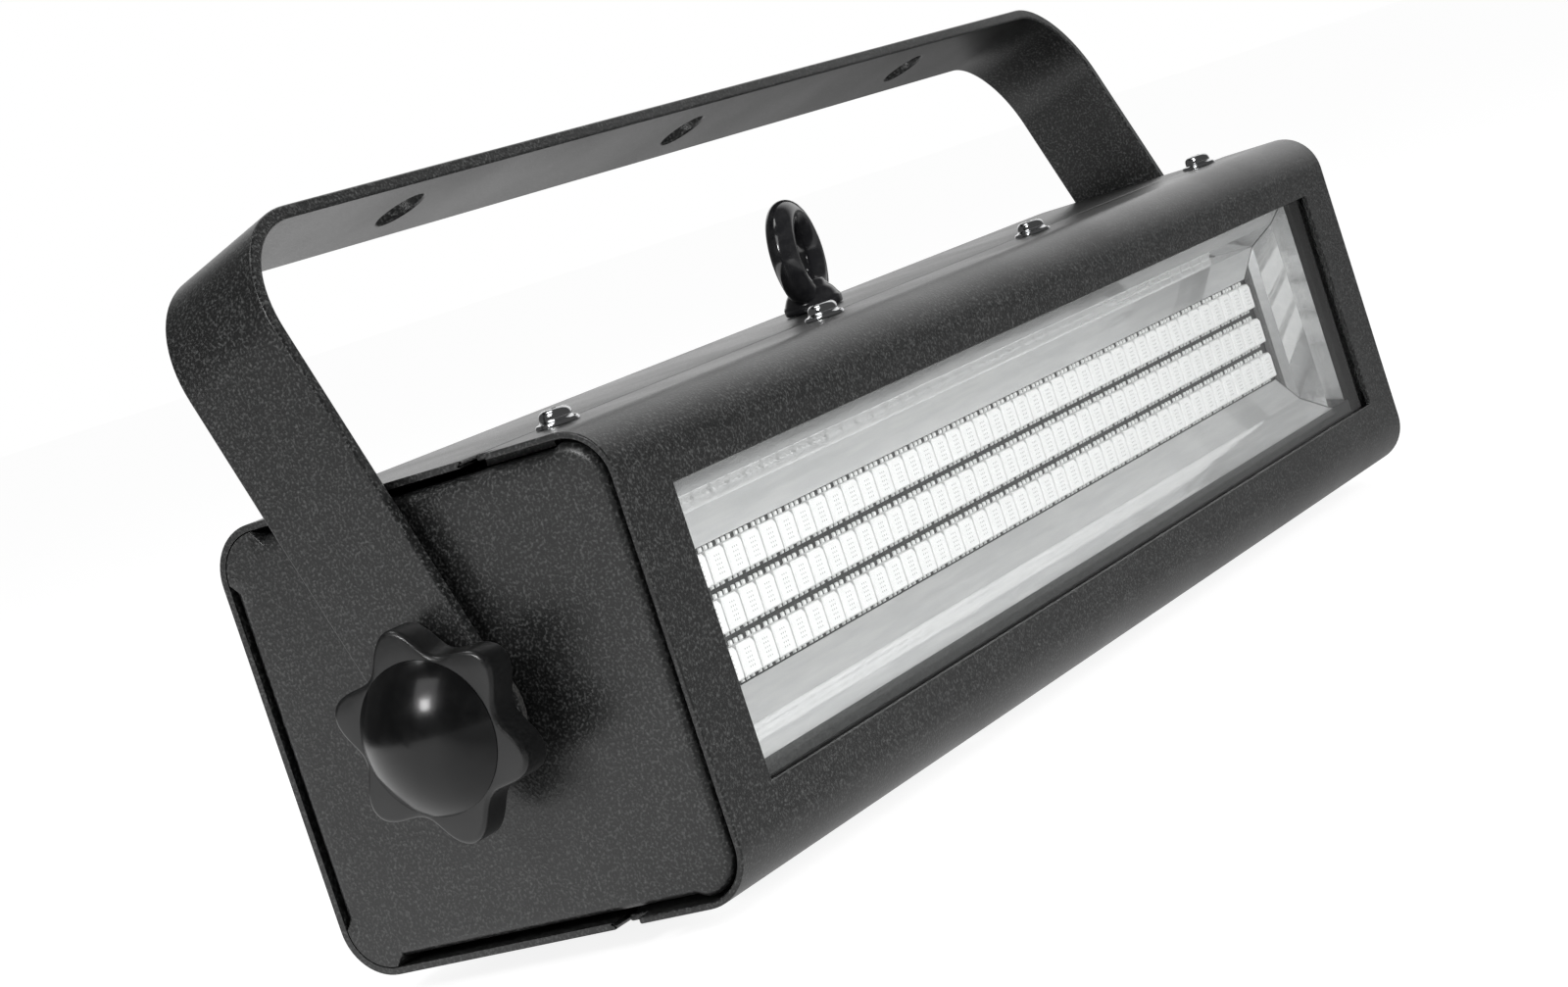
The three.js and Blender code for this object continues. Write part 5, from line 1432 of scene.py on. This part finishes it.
@dataclass
class Yoke:
    """The tilting yoke: a flat bar bent twice, with a round end on each arm."""

    housing: Housing
    width: float = 19.5
    sheet: float = 2.1
    reach: float = 76.4
    bend: float = 17.5
    bend_steps: int = 20
    near: float = 0.8  # width of the narrow cells beside a bend
    outside: float = 145.4
    tilt: float = 17.0
    pivot_hole: float = 3.5
    clamp_hole: float = 4.3
    clamp_holes: int = 3
    clamp_spacing: float = 88.5
    sides: int = 10
    rings: int = 4
    edge: float = 0.4

    def __post_init__(self) -> None:
        """Works out the clamp holes' places and the sheet's lines across its width."""
        self.clamps = spaced(self.clamp_holes, self.clamp_spacing)
        self.lines = np.linspace(-self.width / 2, self.width / 2, self.sides + 1)

    def path(self) -> np.ndarray:
        """The outer face's path, without the arms' round ends.

        Returns:
            Points in (X, height above the axis) up the left arm, over its bend, along the crossbar with all
            the lines of the clamp holes' squares, over the other bend and down the right arm.
        """
        half, straight = self.width / 2, self.reach - self.bend
        left, right = self.bend - self.outside, self.outside - self.bend
        return np.concatenate(
            [
                [[-self.outside, half], [-self.outside, straight - self.near]],
                arc(left, straight, self.bend, 0.5, 0.25, self.bend_steps),
                [[left + self.near, self.reach]],
                [[place + line, self.reach] for place in self.clamps for line in self.lines],
                [[right - self.near, self.reach]],
                arc(right, straight, self.bend, 0.25, 0, self.bend_steps),
                [[self.outside, straight - self.near], [self.outside, half]],
            ]
        )

    def strap(self) -> Surface:
        """The bar between its round ends, without the squares round the clamp holes.

        Returns:
            The path carried across the width; cells between the edges of a clamp hole's square are left out.
        """
        path = self.path()
        across = np.repeat(path[:, None], self.sides + 1, axis=1)
        middle = between(path)
        gap = np.min(np.abs(middle[:, :1] - self.clamps), axis=1)
        keep = ~((middle[:, 1] > self.reach - HAIR) & (gap < self.width / 2 - HAIR))
        cells = np.repeat(keep[:, None], self.sides, axis=1)
        return Surface.net(in_space(across, "Y", self.lines), cells)

    def arm_end(self, side: int) -> Surface:
        """The round end of an arm with the pivot hole.

        Args:
            side: 1 for the right arm and -1 for the left one.

        Returns:
            A net from the hole to a half circle below the axis and a square above it.
        """
        flat = holed_square(self.lines, self.lines, (0, 0), self.pivot_hole, self.rings)
        border = np.where(flat[-1][:, 1:] < 0, on_circle(flat[-1], (0, 0), self.width / 2), flat[-1])
        flat = blended(flat[0], border, np.linspace(0, 1, self.rings + 1))
        return Surface.net(in_space(flat, "X", side * self.outside), ring=True)

    def build(self) -> None:
        """Builds the yoke upright round its axis and tilts it."""
        centre = (0.0, 0.0, 0.0)
        bar = self.strap().outward(centre)
        for side in ENDS.values():
            bar = bar + self.arm_end(side).outward(centre)
        for place in self.clamps:
            flat = holed_square(place + self.lines, self.lines, (place, 0), self.clamp_hole, self.rings)
            bar = bar + Surface.net(in_space(flat, "Z", self.reach), ring=True).outward(centre)
        bar = bar.turned("X", -self.tilt).moved(0, self.housing.pivot_y, self.housing.axis)
        craft = Craft(solid=False, wall=self.sheet, edge=self.edge, edge_steps=3)
        add_piece("yoke_bar", bar, POWDER, "yoke", "yoke", craft)


@dataclass
class Inside:
    """Chassis, boards, fuse and leads, which keep their solids' shapes."""

    boards: tuple[str, ...] = ("power_board", "control_board")
    leads: tuple[str, ...] = ("mains_lead", "led_lead", "control_ribbon")

    def build(self) -> None:
        """Dresses the inner nodes."""
        dress_nodes(ALUMINIUM, "led_chassis")
        dress_nodes(CIRCUIT, *self.boards)
        dress_nodes(CLEAR_GLASS, "fuse")
        dress_nodes(CABLE, *self.leads)


# Studio


@dataclass(frozen=True)
class Lamp:
    """A soft square lamp that points at a target."""

    name: str
    place: tuple[float, float, float]
    size: float
    power: float
    target: tuple[float, float, float] = (-0.03, 0.0, 0.04)
    mirrored: bool = True  # whether mirrors show it


@dataclass
class Studio:
    """Floor, white surroundings, soft lamps and the camera."""

    ambient: float = 0.4
    backdrop: float = 1.0
    dim: float = 0.07  # what mirrors see behind the camera
    turn_white: tuple[float, float] = (0.72, 0.93)  # cosines to the bright way, from dim to white
    floor_reach: float = 30000.0
    floor_lines: int = 21
    floor_gap: float = 0.02
    underground: tuple[float, float, float] = (0, 0, -9)  # a point below the floor
    floor_albedo: float = 0.3
    floor_glow: float = 0.86
    bright_way: tuple[float, float, float] = (0.904, 0.291, 0.313)
    table_middle: tuple[float, float, float] = (-0.45, 0.2, 0.0)  # in metres, like the next two
    table_reach: tuple[float, float] = (0.5, 0.85)  # where mirrors see the floor's glow fade outwards
    table_front: tuple[float, float] = (-0.075, 0.01)  # and where it fades in towards the back
    lamps: tuple[Lamp, ...] = (
        Lamp("overhead", (-1.01, 0.124, 0.55), 0.18, 3.2),
        Lamp("overhead_soft", (-0.98, 0.12, 0.86), 0.5, 1.6),
        Lamp("back_strip", (-0.2, 0.25, 0.92), 0.3, 1.1),
        Lamp("left_key", (-1.1, 0.75, 0.36), 0.7, 4.9, mirrored=False),
        Lamp("front_fill", (-0.25, -1.0, 0.35), 0.8, 15.5, mirrored=False),
    )
    camera_place: tuple[float, float, float] = (-0.5371916, -0.2964498, 0.093168)
    camera_turn: tuple[float, float, float] = (1.3105421613, -1.0510267190, 0.5444647116)
    focal_px: float = 3624.001
    width_px: int = 1600
    sensor_width: float = 36.0

    def world(self) -> None:
        """White for the camera, white or dim for mirrors by direction, and plain ambient light.

        The share of white that a mirror sees grows with the ray's cosine to the bright way, which lies
        behind the object and above it.
        """
        world = bpy.data.worlds.new("surroundings")
        world.use_nodes = True
        bench = Bench(world.node_tree)
        path = bench.add("LightPath").outputs
        along = bench.vector("DOT_PRODUCT", bench.add("TexCoord").outputs["Generated"], self.bright_way)
        mirrored = bench.spread(along, *self.turn_white, self.dim, self.backdrop)
        level = bench.mix(path["Is Glossy Ray"], self.ambient, mirrored)
        either = bench.math("MAXIMUM", path["Is Camera Ray"], path["Is Transmission Ray"])
        sky = bench.add("Background", {"Color": WHITE, "Strength": bench.mix(either, level, 1.0)})
        bench.add("OutputWorld", {"Surface": sky.outputs[0]})
        bpy.context.scene.world = world

    def floor_shader(self, bench: Bench) -> Node:
        """Plain white that glows for the camera, and for mirrors where the table lies.

        Args:
            bench: where its nodes go.

        Returns:
            The shader.
        """
        path = bench.add("LightPath").outputs
        place = bench.add("TexCoord").outputs["Object"]
        away = bench.vector("DISTANCE", place, self.table_middle)
        near = bench.spread(away, *self.table_reach, 1.0, 0.0)
        back = bench.add("SeparateXYZ", {0: place}).outputs["Y"]
        share = bench.math("MULTIPLY", near, bench.spread(back, *self.table_front, 0.0, 1.0))
        mirrored = bench.math("MULTIPLY", share, path["Is Glossy Ray"])
        seen = bench.math("MAXIMUM", mirrored, path["Is Camera Ray"])
        strength = bench.math("MULTIPLY", seen, self.floor_glow)
        glow = bench.add("Emission", {"Color": WHITE, "Strength": strength})
        albedo = self.floor_albedo
        plain = bench.add("BsdfDiffuse", {"Color": (albedo, albedo, albedo, 1)})
        return bench.add("AddShader", {0: plain.outputs[0], 1: glow.outputs[0]})

    def floor(self) -> None:
        """A wide white floor that keeps the object's shadow and that mirrors see only near the object."""
        reach = np.linspace(-self.floor_reach, self.floor_reach, self.floor_lines)
        x, y = np.meshgrid(reach, reach)
        places = in_space(np.stack([y, x], axis=-1), "Z", -ORIGIN[2] - self.floor_gap)
        sheet = Surface.net(places).outward(self.underground)
        floor = bpy.data.objects.new("floor", sheet.into_mesh("floor", False))
        bpy.context.scene.collection.objects.link(floor)
        floor.data.materials.append(painted("floor white", self.floor_shader))

    def light(self) -> None:
        """Places the lamps."""
        for lamp in self.lamps:
            data = bpy.data.lights.new(lamp.name, "AREA")
            data.shape = "SQUARE"
            data.size = lamp.size
            data.energy = lamp.power
            item = bpy.data.objects.new(lamp.name, data)
            item.location = lamp.place
            item.visible_glossy = lamp.mirrored
            aim = Vector(lamp.target) - Vector(lamp.place)
            item.rotation_euler = aim.to_track_quat("-Z", "Y").to_euler()
            bpy.context.scene.collection.objects.link(item)

    def camera(self) -> None:
        """Places the camera at the photograph's viewing angle, from its turn vector and focal length."""
        data = bpy.data.cameras.new("camera")
        data.sensor_width = self.sensor_width
        data.lens = self.focal_px / self.width_px * self.sensor_width
        data.clip_start = 0.01
        turn = Vector(self.camera_turn)
        rows = Matrix.Rotation(turn.length, 3, turn.normalized())
        axes = Matrix((rows[0], -rows[1], -rows[2])).transposed().to_4x4()
        axes.translation = Vector(self.camera_place)
        item = bpy.data.objects.new("camera", data)
        item.matrix_world = axes
        bpy.context.scene.collection.objects.link(item)
        bpy.context.scene.camera = item

    def build(self) -> None:
        """Builds the studio."""
        bpy.context.scene.view_settings.view_transform = "Standard"
        self.world()
        self.floor()
        self.light()
        self.camera()
        LOG.info("studio: %d lamps", len(self.lamps))


def main() -> None:
    """Builds the studio and the strobe light's sub-assemblies in order."""
    logging.basicConfig(level=logging.INFO, format="%(name)s: %(message)s")
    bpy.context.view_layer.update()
    Studio().build()
    panel = RearPanel()
    housing = Housing(panel)
    housing.build()
    panel.build()
    LightField().build()
    Fasteners(housing).build()
    Eyebolt().build()
    TiltJoint(housing).build()
    Yoke(housing).build()
    Inside().build()


if __name__ == "__main__":
    main()
